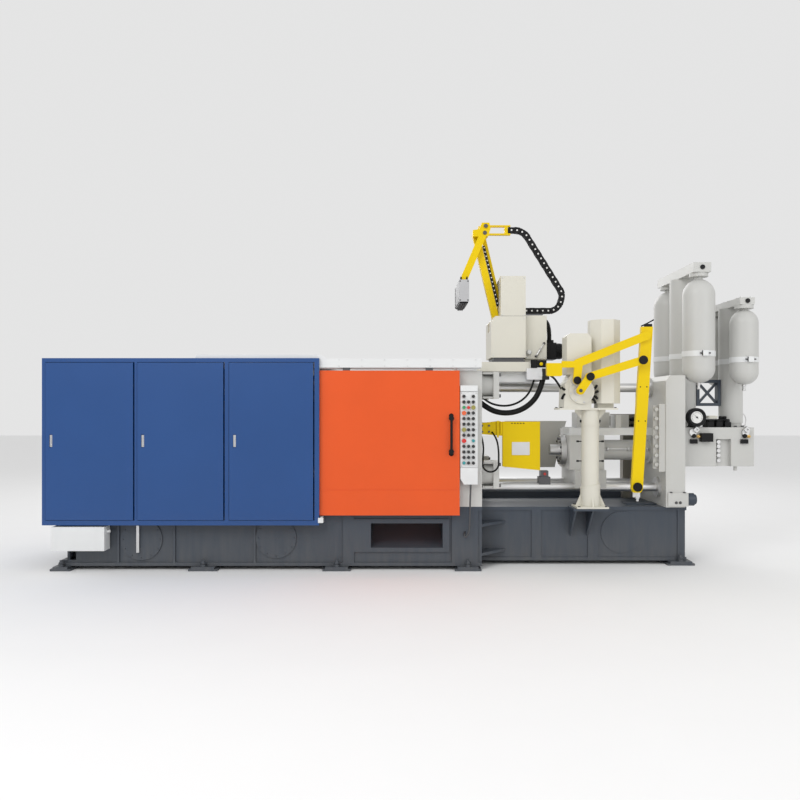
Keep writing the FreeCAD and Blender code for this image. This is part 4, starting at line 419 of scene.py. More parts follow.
slots = {part["node"]: part["material_slot"] for part in frame["record"]["subparts"]}
for name, thing in nodes.items():
    thing.data.materials.clear()
    thing.data.materials.append(finishes[slots[name]])
nodes["door_handle"].data.materials[0] = black_plastic
grey, white, slate = paints["grey_paint"], paints["white_paint"], paints["slate_paint"]
beige, yellow, brown = paints["beige_paint"], paints["yellow_paint"], paints["brown_paint"]
coloured("splash_guards", [yellow, grey], lambda x, y, z: (y > 0).astype(int))
coloured("shot_block", [grey, white, steel],
         lambda x, y, z: np.where(z > 1.46, 1, np.where(x < 1.845, 2, 0)))
coloured("shot_valves", [brown, grey, red_glass, dark_steel],
         lambda x, y, z: np.where(x < 1.65, np.where((y < -0.3255) & (z > 0.985), 2, 3),
                                  np.where(y < 0.3, 1, 0)))
coloured("manifold_valves", [steel, black_plastic],
         lambda x, y, z: ((z > 1.5551) | (z < 1.419) | (np.abs(x - 3.4) < 0.075)).astype(int))
coloured("bottle_beams", [grey, black_plastic],
         lambda x, y, z: (np.abs(y) > np.where(x < 3.5, 0.6005, 0.4505)).astype(int))
coloured("shot_frame_plate", [grey, slate],
         lambda x, y, z: ((x > 3.121) & (z < 0.9)).astype(int))
two_tone = Finish("fitting_two_tone", Roughness=0.42)
right_part = two_tone.height("X").above(1.515)
two_tone.feed(two_tone.blend(right_part, rgb((0.72, 0.73, 0.75)), rgb((0.016, 0.016, 0.017))),
              bump=two_tone.noise(300.0) * 0.2)
coloured("sprayer_deck", [beige, white, two_tone.material, dark_steel],
         lambda x, y, z: np.where((x > 1.338) & (y < -0.2) & (z < 2.25), 2,
                                  np.where(z < 2.205, 1, np.where(z > 2.3175, 3, 0))))
coloured("bottle_straps", [white, slate],
         lambda x, y, z: ((z < 2.2) & (np.abs(y) < 0.1)).astype(int))
coloured("sprayer_cabinet", [beige, dark_steel], lambda x, y, z: (y > 0.2695).astype(int))
coloured("spray_head", [steel_upright, dark_steel, black_plastic],
         lambda x, y, z: np.where(z < 3.0235, 2, np.where(x < 0.5565, 1, 0)))
coloured("base_fittings", [white, steel], lambda x, y, z: (x > -3.1).astype(int))
coloured("door_hangers", [steel, dark_steel], lambda x, y, z: (z > 2.2).astype(int))
ROWS, PITCH, FIRST = 13, 0.0603, 1.906
button_finishes = [button_black, button_red, button_green, button_olive, button_teal, button_orange]
button_key = np.zeros((ROWS, 3), int)
button_key[2] = 2, 1, 3
button_key[3, 0] = 5
button_key[6, 0] = 3
button_key[8] = 1, 0, 4
button_key[12, 0] = 4


def button_chooser(x, y, z):
    row = np.clip(np.round((FIRST - z) / PITCH), 0, ROWS - 1).astype(int)
    column = np.clip(np.round((x - 0.562) / 0.051), 0, 2).astype(int)
    return button_key[row, column]


coloured("panel_buttons", button_finishes, button_chooser)
print("finishes on", len(nodes), "nodes")

# %% [markdown]
# ## Hoses
# Hydraulic hoses hang between the fixed platen and the sprayer's deck. A hose is a length of
# something springy, so it is one smooth spline: the route's points are its control points,
# and a round bevel gives it its thickness. Where a long run meets a short one, an extra
# point beside the corner keeps the bend round.

# %% Hoses
def hose(name, radius, length, points):
    """Smooth spline of order 3 through a few control points, clamped at both ends."""
    curve = bpy.data.curves.new(name, "CURVE")
    curve.dimensions = "3D"
    curve.bevel_depth, curve.bevel_resolution, curve.use_fill_caps = radius, 6, True
    spline = curve.splines.new("NURBS")
    spline.points.add(len(points) - 1)
    spline.points.foreach_set("co", np.c_[points, np.ones(len(points))].ravel())
    spline.order_u = 3
    spline.use_endpoint_u = True
    spline.resolution_u = 12
    thing = bpy.data.objects.new(name + "_line", curve)
    bpy.context.collection.objects.link(thing)
    curve.materials.append(black_rubber)
    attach(thing, "frame")
    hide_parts("hose_sprayer" if name == "hose_loop" else name)
    return thing


ROUTES = {
    "hose_bundle": (0.032, 1.0396, [
        (0.758, -0.29, 1.88), (0.8921, -0.287, 1.7675), (1.0594, -0.284, 1.7163),
        (1.2335, -0.281, 1.7346), (1.3865, -0.278, 1.8195), (1.4943, -0.275, 1.9574),
        (1.5395, -0.272, 2.1264)]),
    "hose_sprayer": (0.012, 0.9092, [
        (0.758, -0.322, 1.965), (0.8662, -0.3137, 1.8568), (1.01, -0.3053, 1.8045),
        (1.1629, -0.297, 1.8072), (1.3016, -0.2887, 1.8718), (1.3999, -0.2803, 1.989),
        (1.4395, -0.272, 2.1368)]),
    "hose_loop": (0.010, 1.2039, [
        (0.758, -0.7, 1.5), (0.8, -0.7, 1.4), (0.7875, -0.7, 1.1893), (0.784, -0.7, 1.1308),
        (0.8184, -0.7, 1.0834), (0.874, -0.7, 1.0654), (0.9296, -0.7, 1.0834),
        (0.964, -0.7, 1.1308), (0.9647, -0.6967, 1.1893), (0.966, -0.69, 1.31),
        (0.96, -0.56, 1.44), (0.937, -0.318, 1.5)]),
    "hose_ladler": (0.012, 0.4111, [
        (1.592, -0.272, 2.178), (1.64, -0.345, 2.14), (1.666, -0.43, 2.082),
        (1.688, -0.515, 2.015), (1.716, -0.59, 1.955)]),
}
hoses = {name: hose(name, *route) for name, route in ROUTES.items()}
print("hoses", list(hoses))

# %% [markdown]
# ## Bolts on the bases
# Inspection covers, rail feet and levelling feet are held by hexagon screws. One screw is
# made once, and its array of points is added to an array of places, which gives a whole ring
# of screws in one step.

# %% Base bolts
front_and_rear = (("-y", -0.796), ("y", 0.796))
groups = []
for axis, y in front_and_rear:
    for x, z, r in ((-2.977, 0.336, 0.205), (-1.496, 0.351, 0.198)):
        groups.append(copies(screw(0.009), ring_of((x, y, z), r, 12, axis), axis))
for side in (-1, 1):
    for x in (-3.84, -2.286, -0.825, 0.611):
        groups.append(copies(screw(0.026), [(x, side * 0.835, 0.0755)]))
    groups.append(copies(screw(0.026), [(3.045, side * 0.535, 0.0755)]))
piece("base_bolts", *joined(*groups), slate, slot="slate_paint")

# %% [markdown]
# ## Guard doors
# Each sheet-steel leaf has a flush latch in a shallow recess and three lift-off hinges. The
# latch is a chromed plate with a turning lever, and it rides with its leaf.

# %% Latches
LEAVES = ((-3.960, -3.015), (-2.969, -2.041), (-1.978, -1.071))
for number, (x0, x1) in enumerate(LEAVES, 1):
    plate = box((x0 + 0.045, x0 + 0.073), (-0.9445, -0.936), (1.360, 1.488))
    lever = box((x0 + 0.052, x0 + 0.066), (-0.9485, -0.944), (1.395, 1.475))
    lock = stood(turned([(0.0075, 0), (0.0075, 0.004), (0.006, 0.005)], 16),
                 (x0 + 0.059, -0.9445, 1.378), "-y")
    ease(piece(f"door_latch_{number}", *joined(plate, lever, lock), steel_upright,
               body=f"guard_door_{number}", slot="steel"), 0.0012)
print("three latches")

# %% [markdown]
# ## Control column
# Each push-button sits in a thin metal collar. The collars are one small turned profile
# repeated on a grid of three columns, and two places are empty. A cable leaves the bottom of
# the column in a stiff conduit that loops into the base.

# %% Button collars and conduit
columns_x = np.array([0.562, 0.612, 0.664])
grid = np.array([(x, -0.8795, FIRST - PITCH * row) for row in range(ROWS) for x in columns_x
                 if (row, round(x, 3)) not in ((0, 0.612), (8, 0.612))])
collar = turned([(0.0215, 0.0), (0.0215, 0.0045), (0.0195, 0.0065), (0.0175, 0.0065)], 20)
piece("button_collars", *copies(collar, grid, "-y"), steel, slot="steel")
corners = [(x, -0.8795, z) for x in (0.537, 0.699) for z in (1.150, 1.545, 1.940)]
piece("panel_screws", *copies(screw(0.006, "cap"), corners, "-y"), steel, slot="steel")


def tube(path, radius, sides=16, ridge=0.0, pitch=4):
    """Round section carried along a path: each ring stands square to the path's direction.

    With a ridge, every second group of rings is a little wider, as on a corrugated hose.
    """
    p = np.asarray(path, float)
    along = np.gradient(p, axis=0)
    along /= np.linalg.norm(along, axis=1, keepdims=True)
    across = np.cross(along, (0.0, 1.0, 0.0))
    across /= np.maximum(np.linalg.norm(across, axis=1, keepdims=True), 1e-9)
    other = np.cross(along, across)
    t = np.arange(sides) * 2 * np.pi / sides
    size = radius + ridge * ((np.arange(len(p)) // (pitch // 2)) % 2)
    ring = (np.cos(t)[None, :, None] * across[:, None] + np.sin(t)[None, :, None] * other[:, None])
    points = p[:, None] + size[:, None, None] * ring
    faces = grid_faces(len(p), sides)
    return points.reshape(-1, 3), [f[::-1] for f in faces]


def bow(points, count=40):
    """Smooth curve through few control points: a Bezier curve from its Bernstein polynomials."""
    c = np.asarray(points, float)
    n = len(c) - 1
    t = np.linspace(0, 1, count)[:, None]
    k = np.arange(n + 1)[None]
    weight = np.array([math.comb(n, i) for i in range(n + 1)])[None] * t ** k * (1 - t) ** (n - k)
    return weight @ c


conduit = np.concatenate([
    bow([(0.640, -0.855, 0.960), (0.632, -0.858, 0.75), (0.628, -0.858, 0.55)], 20),
    bow([(0.628, -0.858, 0.53), (0.628, -0.858, 0.34), (0.55, -0.858, 0.34), (0.565, -0.84, 0.41),
         (0.585, -0.79, 0.42)], 30)])
piece("panel_conduit", *tube(conduit, 0.0095), dark_steel, True, slot="black_rubber")
print(len(grid), "button collars")

# %% [markdown]
# ## Rail cover, door and platen screws
# Sheet covers are held by rows of small screws. Rows come from evenly spaced numbers, and
# the rear of the machine plainly repeats the front.

# %% Rows of screws
def row(start, end, count):
    """Evenly spaced places from start to end."""
    return np.linspace(start, end, count)


cover = np.concatenate([row((-2.28, -0.8965, z), (0.69, -0.8965, z), 13) for z in (2.236, 2.302)])
piece("rail_cover_screws", *copies(screw(0.0055, "cap"), cover, "-y"), steel, slot="steel")
nut_plates = [(0.9765, y + dy, z + dz) for y in (-0.5, 0.5) for z in (1.029, 2.034)
              for dy in (-0.118, 0.118) for dz in (-0.118, 0.118)]
piece("tie_plate_screws", *copies(screw(0.019, "cap"), nut_plates, "x"), dark_steel, slot="steel")
ends = [(0.424, -0.8945, z) for z in (1.282, 1.695)]
rose = turned([(0.026, 0.0), (0.026, 0.004), (0.019, 0.010), (0.015, 0.022)], 24)
piece("handle_roses", *copies(rose, ends, "-y"), black_plastic, True, "front_door", "black_plastic")
print("rows of screws")

# %% [markdown]
# ## Injection unit
# Flanges on a hydraulic cylinder carry rings of heavy cap screws, because oil pressure tries
# to lift them. Solenoid valves are stacked on the blocks: a steel body between two round coils.

# %% Injection screws and valves
rings = [copies(screw(0.016, "cap"), ring_of((2.2505, 0, 1.277), 0.150, 12, "x", 0.26), "x"),
         copies(screw(0.013, "cap"), ring_of((1.7805, 0, 1.277), 0.138, 12, "-x", 0.26), "-x"),
         copies(screw(0.013, "cap"), [(2.985, -0.5755, 0.711), (3.030, -0.5755, 0.711)], "-y"),
         copies(screw(0.013, "cap"), [(2.985, 0.5755, 0.711), (3.030, 0.5755, 0.711)], "y"),
         copies(screw(0.014), [(x, y, 0.821) for x in (2.93, 3.08) for y in (-0.568, 0.568)], "z")]
piece("injection_screws", *joined(*rings), dark_steel, slot="steel")
ease(piece("deck_upstand", *joined(box((0.775, 2.650), (0.425, 0.480), (0.6555, 0.735)),
                                   box((2.50, 2.86), (-0.30, -0.10), (0.6555, 0.668))), slate,
           slot="slate_paint"), 0.004)
bracket_flange = joined(box((0.990, 1.012), (-0.3475, -0.3335), (1.438, 1.632)),
                        box((1.030, 1.050), (-0.3475, -0.3335), (1.470, 1.622)))
ease(piece("splash_bracket", *bracket_flange, yellow, slot="yellow_paint"), 0.002)
piece("splash_bracket_screws", *copies(screw(0.010), [(x, -0.3345, z) for x in (0.82, 0.90)
                                                     for z in (1.505, 1.575)], "-y"), dark_steel,
      slot="steel")
signal_rod = tube(row((2.27, -0.131, 1.293), (2.862, -0.131, 1.293), 12), 0.010)
rod_clamps = copies(bar((0.03, 0.05, 0.036), 0.006), [(x, -0.128, 1.275) for x in (2.33, 2.58, 2.80)])
piece("signal_rod", *joined(signal_rod, rod_clamps), steel, True, slot="steel")


def solenoid(length=0.15, radius=0.027):
    """Valve with a coil at each end: a profile turned about the valve's own axis."""
    a = length / 2
    return turned([(0.010, -a - 0.012), (0.014, -a), (radius, -a + 0.002), (radius, -a * 0.45),
                   (radius * 0.7, -a * 0.42), (radius * 0.7, a * 0.42), (radius, a * 0.45),
                   (radius, a - 0.002), (0.014, a), (0.010, a + 0.012)], 20)


coil = solenoid()
valve_body = bar((0.05, 0.052, 0.052), 0.005)
top_valves = [(2.05 + 0.105 * i, 0.10, 1.727) for i in range(3)]
coils = copies(coil, [(x, y, z + 0.030) for x, y, z in top_valves], "y")
bodies = copies(valve_body, top_valves)
piece("block_coils", *coils, black_plastic, True, slot="black_plastic")
piece("block_valves", *bodies, dark_steel, slot="steel")
stand_valves = copies(coil, [(2.62 + 0.07 * i, 0.355, 1.56 + 0.08 * j) for i in range(3)
                             for j in range(2)], "y")
piece("stand_coils", *stand_valves, black_plastic, True, slot="black_plastic")
# Painted shade: five thin dark bars on the yellow guard stand for the shaded insides of its vent slots.
slot_shade_places = [(1.165 + 0.034 * i, -0.334, 1.598) for i in range(5)]
piece("splash_slot_shade", *copies(stood(bar((0.020, 0.002, 0.010), 0.0006)), slot_shade_places), black_marks_and_gap_shade,
      slot="black_plastic")
plate = box((1.165, 1.370), (-0.3395, -0.3335), (1.235, 1.385))
ease(piece("splash_plate", *plate, steel, slot="steel"), 0.002)
rivets = [(x, -0.3395, z) for x in (1.176, 1.359) for z in (1.246, 1.374)]
piece("splash_rivets", *copies(turned([(0.005, 0), (0.004, 0.002)], 12), rivets, "-y"), steel,
      slot="steel")
print("injection details")

# %% [markdown]
# ## Pressure gauge
# A dial gauge is a rim, a white face, ticks round three quarters of a turn and a pointer.
# The ticks are one thin bar turned to each angle.

# %% Gauge
GAUGE = np.array([3.275, -0.420, 1.673])
rim = turned([(0.1065, 0.0), (0.1065, 0.012), (0.098, 0.022), (0.078, 0.016), (0.070, 0.003),
              (0.004, 0.003)], 48)
piece("gauge_rim", *stood(rim, GAUGE, "-y"), black_plastic, True, slot="black_plastic")
face = turned([(0.069, 0.0), (0.069, 0.0045), (0.067, 0.006)], 48)
piece("gauge_face", *stood(face, GAUGE + (0, -0.001, 0), "-y"), dial_white, slot="white_paint")
angles = np.radians(np.linspace(-45, 225, 28))
long = np.where(np.arange(28) % 3 == 0, 0.013, 0.007)
inner, outer = 0.060 - long, np.full(28, 0.060)
side = np.stack([-np.sin(angles), np.cos(angles)], -1) * 0.0010
radial = np.stack([np.cos(angles), np.sin(angles)], -1)
quad = np.stack([radial * inner[:, None] - side, radial * outer[:, None] - side,
                 radial * outer[:, None] + side, radial * inner[:, None] + side], 1)
ticks = [pushed(q + (GAUGE[0], GAUGE[2]), GAUGE[1] - 0.0082, GAUGE[1] - 0.0066) for q in quad]
needle = pushed([(GAUGE[0] + 0.012, GAUGE[2] - 0.016), (GAUGE[0] + 0.016, GAUGE[2] - 0.012),
                 (GAUGE[0] - 0.042, GAUGE[2] + 0.040)], GAUGE[1] - 0.0105, GAUGE[1] - 0.0085)
boss = stood(turned([(0.009, 0.0), (0.009, 0.013), (0.006, 0.015)], 20), GAUGE, "-y")
piece("gauge_marks", *joined(*ticks, needle, boss), black_marks_and_gap_shade, slot="black_plastic")
print("gauge with", len(ticks), "ticks")

# %% [markdown]
# ## Accumulators and their block
# Nitrogen pushes on a piston in each tall cylinder, and the bottles beside it hold more gas.
# Plugs, brass bleed screws and sensors stand on the block; the rear repeats the front.

# %% Block fittings
def both_sides(places):
    """Places at the front and the same at the rear."""
    p = np.asarray(places, float)
    return p, p * (1, -1, 1)


square_plug = turned([(0.040, 0.0), (0.040, 0.022), (0.036, 0.028), (0.018, 0.028), (0.018, 0.012)], 4)
bleed = turned([(0.014, 0.0), (0.014, 0.016), (0.020, 0.018), (0.020, 0.034), (0.010, 0.036),
                (0.010, 0.060)], 6)
knob = turned([(0.020, 0.0), (0.024, 0.006), (0.024, 0.030), (0.018, 0.036)], 16)
pocket_bolt = turned([(0.026, 0.0), (0.026, 0.020), (0.022, 0.026), (0.012, 0.026)], 16)
for label, shape, places, finish, tag in (
        ("block_plugs", square_plug, [(3.283, -0.3755, 1.531), (3.864, -0.3755, 1.531)], steel, "steel"),
        ("bleed_screws", bleed, [(3.312, -0.3495, 1.452), (3.893, -0.3495, 1.452)], brass, "steel"),
        ("bleed_knobs", knob, [(3.262, -0.3495, 1.458), (3.850, -0.3495, 1.458)], black_plastic,
         "black_plastic"),
        ("pocket_bolts", pocket_bolt, [(3.572, -0.2905, z) for z in (1.170, 1.229, 1.284, 1.335, 1.386)],
         steel, "steel")):
    front, rear = both_sides(places)
    piece(label, *joined(copies(shape, front, "-y"), copies(shape, rear, "y")), finish, slot=tag)
valve_box = box((3.462, 3.742), (-0.235, -0.10), (1.5545, 1.650))
valve_top = box((3.49, 3.60), (-0.225, -0.11), (1.655, 1.690))
caps = copies(knob, [(3.655, -0.17, 1.648), (3.700, -0.17, 1.648)])
ease(piece("block_top_valve", *joined(valve_box, caps), black_plastic, slot="black_plastic"), 0.004)
ease(piece("block_top_plate", *valve_top, beige, slot="beige_paint"), 0.003)
hook = bow([(3.872, -0.30, 1.55), (3.905, -0.30, 1.62), (3.905, -0.30, 1.68), (3.86, -0.30, 1.715)], 20)
piece("bleed_pipe", *tube(hook, 0.006), steel, True, slot="steel")

# %% Bottles
groups = ((3.270, 0.488, 2.394, 0.177, 3.421, 0.099), (3.846, 0.359, 2.334, 0.155, 3.049, 0.084))
for number, (x, y, strap_z, radius, top, half) in enumerate(groups, 1):
    lugs, bolts, nuts = [], [], []
    for side in (-1, 1):
        front = side * (y + radius)
        for lug_x in (x - 0.030, x + 0.018):
            lugs.append(box((lug_x, lug_x + 0.012), sorted((front - side * 0.012, front + side * 0.026)),
                            (strap_z - 0.029, strap_z + 0.029)))
        bolts.append(tube(row((x - 0.060, front + side * 0.016, strap_z),
                              (x + 0.060, front + side * 0.016, strap_z), 6), 0.008))
        nuts.append(copies(screw(0.015), [(x + dx, side * y + dy, top - 0.001) for dx in (-0.055, 0.055)
                                          for dy in (-0.055, 0.055)]))
    nuts.append(copies(screw(0.017), [(x + dx, dy, top - 0.001) for dx in (-0.05, 0.05)
                                      for dy in (-0.06, 0.06)]))
    piece(f"strap_lugs_{number}", *joined(*lugs), white, slot="white_paint")
    piece(f"strap_bolts_{number}", *joined(*bolts), dark_steel, slot="steel")
    low = {1: 2.0655, 2: 2.0515}[number]
    stub = turned([(0.024, 0.0), (0.024, 0.022), (0.016, 0.026), (0.016, 0.050), (0.021, 0.052),
                   (0.021, 0.070), (0.010, 0.074)], 16)
    piece(f"bottle_valves_{number}", *copies(stub, [(x, -y, low), (x, y, low)], "-z"), steel,
          slot="steel")
    piece(f"beam_screws_{number}", *joined(*nuts), steel, slot="steel")
base_rings = [copies(screw(0.014, "cap"), ring_of((x, 0, z), r, 10, "z", 0.3))
              for x, z, r in ((3.270, 1.5555, 0.178), (3.846, 1.5555, 0.148))]
piece("accumulator_screws", *joined(*base_rings), dark_steel, slot="steel")
print("accumulator details")

# %% [markdown]
# ## Cable chain
# The chain is a run of equal links. The middle line is three straight runs joined by arcs, so
# a place and a direction are known at any distance along it, and a link is one small shape
# turned to that direction. It is made in two lengths: the lower lies between the deck
# and the swinging arm, and the upper between that arm and the forearm.

# %% Chain
CHAIN_CORNERS = np.array([(1.336, 2.989), (1.835, 2.989), (1.893, 3.200), (1.400, 3.992),
                          (1.216, 3.992)])
CHAIN_BENDS = (0.150, 0.150, 0.190)


def chain_line(step=0.002):
    """Points of the middle line: straight runs and arcs, evenly resampled by length."""
    parts, at = [], CHAIN_CORNERS[0]
    for before, corner, after, radius in zip(CHAIN_CORNERS, CHAIN_CORNERS[1:], CHAIN_CORNERS[2:],
                                             CHAIN_BENDS):
        u = (before - corner) / np.linalg.norm(before - corner)
        w = (after - corner) / np.linalg.norm(after - corner)
        turn = math.pi - math.acos(float(np.clip(u @ w, -1, 1)))
        reach = radius * math.tan(turn / 2)
        middle = corner + (u + w) / np.linalg.norm(u + w) * radius / math.cos(turn / 2)
        start, end = corner + u * reach, corner + w * reach
        a0 = math.atan2(*(start - middle)[::-1])
        sweep = (math.atan2(*(end - middle)[::-1]) - a0 + math.pi) % (2 * math.pi) - math.pi
        t = a0 + sweep * np.linspace(0, 1, 60)
        parts += [np.linspace(at, start, 60), middle + radius * np.stack([np.cos(t), np.sin(t)], -1)]
        at = end
    parts.append(np.linspace(at, CHAIN_CORNERS[-1], 60))
    line = np.concatenate(parts)
    length = np.r_[0, np.cumsum(np.linalg.norm(np.diff(line, axis=0), axis=1))]
    even = np.arange(0, length[-1], step)
    return np.stack([np.interp(even, length, line[:, k]) for k in (0, 1)], -1), length[-1]


line, chain_length = chain_line()
LINKS = int(round(chain_length / 0.068))
place = (np.arange(LINKS) + 0.5) / LINKS * (len(line) - 1)
centre = line[place.astype(int)]
ahead = line[np.minimum(place.astype(int) + 8, len(line) - 1)] - line[np.maximum(place.astype(int) - 8, 0)]
heading = np.arctan2(ahead[:, 1], ahead[:, 0])
pitch = chain_length / LINKS


def link_plate(length, height, corner=0.007):
    """Outline of a link plate: a rectangle whose corners are cut, as (along, up) points."""
    x, z, c = length / 2, height / 2, corner
    return np.array([(x, -z + c), (x, z - c), (x - c, z), (c - x, z), (-x, z - c), (-x, c - z),
                     (c - x, -z), (x - c, -z)])


def along_chain(shape, numbers):
    """The shape at some links: its X axis is turned to each link's direction."""
    points, faces = shape
    c, s = np.cos(heading[numbers])[:, None], np.sin(heading[numbers])[:, None]
    x = points[None, :, 0] * c - points[None, :, 2] * s + centre[numbers][:, 0:1]
    z = points[None, :, 0] * s + points[None, :, 2] * c + centre[numbers][:, 1:2]
    y = np.broadcast_to(points[None, :, 1], x.shape)
    n = len(points)
    return (np.stack([x, y, z], -1).reshape(-1, 3),
            [[v + n * k for v in f] for k in range(len(numbers)) for f in faces])


outer_plates = [pushed(link_plate(pitch * 1.12, 0.074), y, y + 0.006) for y in (0.295, 0.349)]
inner_plates = [pushed(link_plate(pitch * 1.22, 0.072), y, y + 0.006) for y in (0.302, 0.342)]
bars = [box((-0.016, 0.016), (0.300, 0.350), (z - 0.004, z + 0.004)) for z in (-0.030, 0.030)]
pins = copies(turned([(0.0105, 0.0), (0.0105, 0.063), (0.008, 0.066)], 12), [(0, 0.2925, 0)], "y")
body_shape = joined(*outer_plates, *bars)
inner_shape = joined(*inner_plates, *bars)
joint_link = int(np.argmin(np.hypot(centre[:, 0] - 1.6465, centre[:, 1] - 3.596)))
lower, upper = np.arange(0, joint_link), np.arange(joint_link, LINKS)
for label, numbers in (("lower", lower), ("upper", upper)):
    plates = joined(along_chain(body_shape, numbers[::2]), along_chain(inner_shape, numbers[1::2]))
    for kind, shape, finish in (("links", plates, black_plastic),
                                ("pins", along_chain(pins, numbers), dial_white)):
        thing = piece(f"chain_{label}_{kind}", *shape, finish, body=None, slot="black_plastic")
        if label == "lower":
            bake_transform(thing)
        else:
            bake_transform(thing)
        if kind == "links" and label == "lower":
            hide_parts("sprayer_chain")
print("chain of", LINKS, "links,", round(chain_length, 3), "m")

# %% [markdown]
# ## Sprayer details
# A second, narrow chain carries air lines up the thick arm, between it and the tie bar. The
# spray block has rows of nozzles below, and its control box has a knob, a small air cylinder
# and a corrugated hose.

# %% Sprayer pieces
SHOULDER, WRIST = np.array([1.029, 2.772]), np.array([0.772, 3.842])
arm_way = (WRIST - SHOULDER) / np.linalg.norm(WRIST - SHOULDER)
arm_side = np.array([arm_way[1], -arm_way[0]])


def beside_arm(share, offset, y):
    """Place beside the thick arm: a share of the way up it, and an offset to its right."""
    p = SHOULDER + np.linalg.norm(WRIST - SHOULDER) * share * arm_way + offset * arm_side
    return np.array([p[0], y, p[1]])


corners = [SHOULDER + 1.1005 * s * arm_way + o * arm_side
           for s, o in ((0.20, 0.050), (0.87, 0.050), (0.87, 0.078), (0.20, 0.078))]
piece("arm_line_chain", *pushed(corners, -0.062, -0.022), black_plastic, body="sprayer_arm",
      slot="black_plastic")
studs = np.array([beside_arm(s, 0.064, -0.0615) for s in np.linspace(0.23, 0.85, 14)])
piece("arm_line_pins", *copies(turned([(0.008, 0.0), (0.008, 0.003), (0.006, 0.004)], 12), studs, "-y"),
      dial_white, body="sprayer_arm", slot="black_plastic")
pivots = [(0.870, -0.1705, 3.850), (0.880, -0.1785, 3.929)]
piece("arm_pivot_caps", *copies(turned([(0.024, 0), (0.024, 0.006), (0.018, 0.010), (0.008, 0.010)], 20),
      pivots, "-y"), dark_steel, body="sprayer_forearm", slot="steel")
nozzle = turned([(0.011, 0.0), (0.011, 0.010), (0.006, 0.020), (0.003, 0.022)], 12)
tips = [(x, y, 3.0055) for x in (0.588, 0.6115, 0.635) for y in np.linspace(-0.27, 0.27, 10)]
piece("spray_nozzles", *copies(nozzle, tips, "-z"), dark_steel, body="sprayer_forearm", slot="steel")
corner_screws = [(x, -0.3195, z) for x in (0.566, 0.657) for z in (3.035, 3.255)]
piece("spray_screws", *copies(screw(0.007, "cap"), corner_screws, "-y"), dark_steel,
      body="sprayer_forearm", slot="steel")
fittings = copies(turned([(0.012, 0), (0.012, 0.02), (0.008, 0.022), (0.008, 0.045)], 12),
                  [(x, y, 3.2665) for x in (0.580, 0.648) for y in (-0.29, -0.23, 0.05, 0.13)])
piece("spray_fittings", *fittings, black_plastic, body="sprayer_forearm", slot="black_plastic")

dial_knob = turned([(0.034, 0.0), (0.034, 0.008), (0.024, 0.012), (0.022, 0.034), (0.018, 0.038)], 24)
piece("box_knob", *stood(dial_knob, (1.392, -0.1495, 2.435), "-y"), white, True, slot="white_paint")
spring_line = row((1.476, -0.163, 2.392), (1.572, -0.163, 2.544), 8)
body_line = spring_line[:5]
piece("air_cylinder", *joined(tube(spring_line, 0.006), tube(body_line, 0.012)), steel, True, slot="steel")
piece("air_cylinder_ends", *copies(turned([(0.014, 0.0), (0.014, 0.016), (0.010, 0.018)], 16),
      [spring_line[0] + (0, 0.014, 0), spring_line[-1] + (0, 0.014, 0)], "-y"), black_plastic,
      slot="black_plastic")
lid_screws = [(x, -0.1495, z) for x in (1.372, 1.588) for z in (2.38, 2.86)]
cabinet_screws = [(x, -0.2695, z) for x in (0.955, 1.315) for z in (2.395, 2.830)] + \
                 [(x, -0.2695, z) for x in (1.062, 1.318) for z in (2.868, 3.300)]
piece("cabinet_screws", *copies(screw(0.006, "cap"), lid_screws + cabinet_screws, "-y"), steel,
      slot="steel")
# Painted shade: a thin dark strip on the cabinet face between its two panels stands for the shade in the
# seam.
seam = joined(box((1.046, 1.334), (-0.2708, -0.2695), (2.8548, 2.8572)))
piece("cabinet_seam_shade", *seam, black_marks_and_gap_shade, slot="beige_paint")
loop = bow([(1.600, 0.05, 2.835), (1.665, 0.05, 2.845), (1.685, 0.05, 2.72), (1.675, 0.05, 2.60),
            (1.668, 0.05, 2.52), (1.664, 0.05, 2.470)], 120)
piece("corrugated_guide", *tube(loop, 0.024, 16, 0.004, 4), black_rubber, True, slot="black_rubber")
regulator = box((1.386, 1.462), (-0.345, -0.3005), (2.244, 2.340))
regulator_b = box((1.468, 1.566), (-0.345, -0.3005), (2.250, 2.336))
ease(piece("air_regulator", *joined(regulator, regulator_b), black_plastic, slot="black_plastic"), 0.004)
piece("air_button", *stood(turned([(0.020, 0.0), (0.020, 0.010), (0.015, 0.013)], 20),
      (1.503, -0.3445, 2.290), "-y"), yellow, True, slot="yellow_paint")
motor_fin = turned([(0.096, 0), (0.096, 0.004)], 32)
fins = copies(motor_fin, [(1.742 + 0.011 * i, 0.040, 2.465) for i in range(6)], "x")
piece("motor_fins", *fins, black_plastic, slot="black_plastic")
print("sprayer details")

# %% [markdown]
# ## Ladler details
# The four-bar arm has black cover discs on its pivots, small grub screws in the long arm, and
# plug-in sensors with short cables beside the gearbox. Clamp screws hold the column's sleeve.

# %% Ladler pieces
coloured("ladler_crank", [yellow, black_plastic], lambda x, y, z: (y < -0.9301).astype(int))
coloured("ladler_link", [yellow, black_plastic], lambda x, y, z: (y < -0.8921).astype(int))
coloured("ladle_wrist", [steel, black_plastic], lambda x, y, z: (y < -0.8125).astype(int))
coloured("ladler_head", [beige, steel], lambda x, y, z: (y < -0.7785).astype(int))
coloured("ladler_column", [beige, slate], lambda x, y, z: (z < 0.6691).astype(int))
disc = turned([(0.043, 0.0), (0.043, 0.0025), (0.041, 0.0035)], 32)
piece("arm_cover_disc", *stood(disc, (1.803, -0.8535, 2.082), "-y"), black_plastic, slot="black_plastic")
eye_screw = screw(0.016, "cap")
hub_cap = turned([(0.036, 0.0), (0.036, 0.004), (0.033, 0.007)], 28)
piece("crank_cap", *stood(hub_cap, (1.822, -0.9305, 1.968), "-y"), yellow, body="ladler_crank",
      slot="yellow_paint")
piece("crank_screw", *stood(eye_screw, (1.822, -0.9373, 1.968), "-y"), dark_steel,
      body="ladler_crank", slot="steel")
small = turned([(0.0075, 0.0), (0.0075, 0.0015), (0.006, 0.002)], 10)
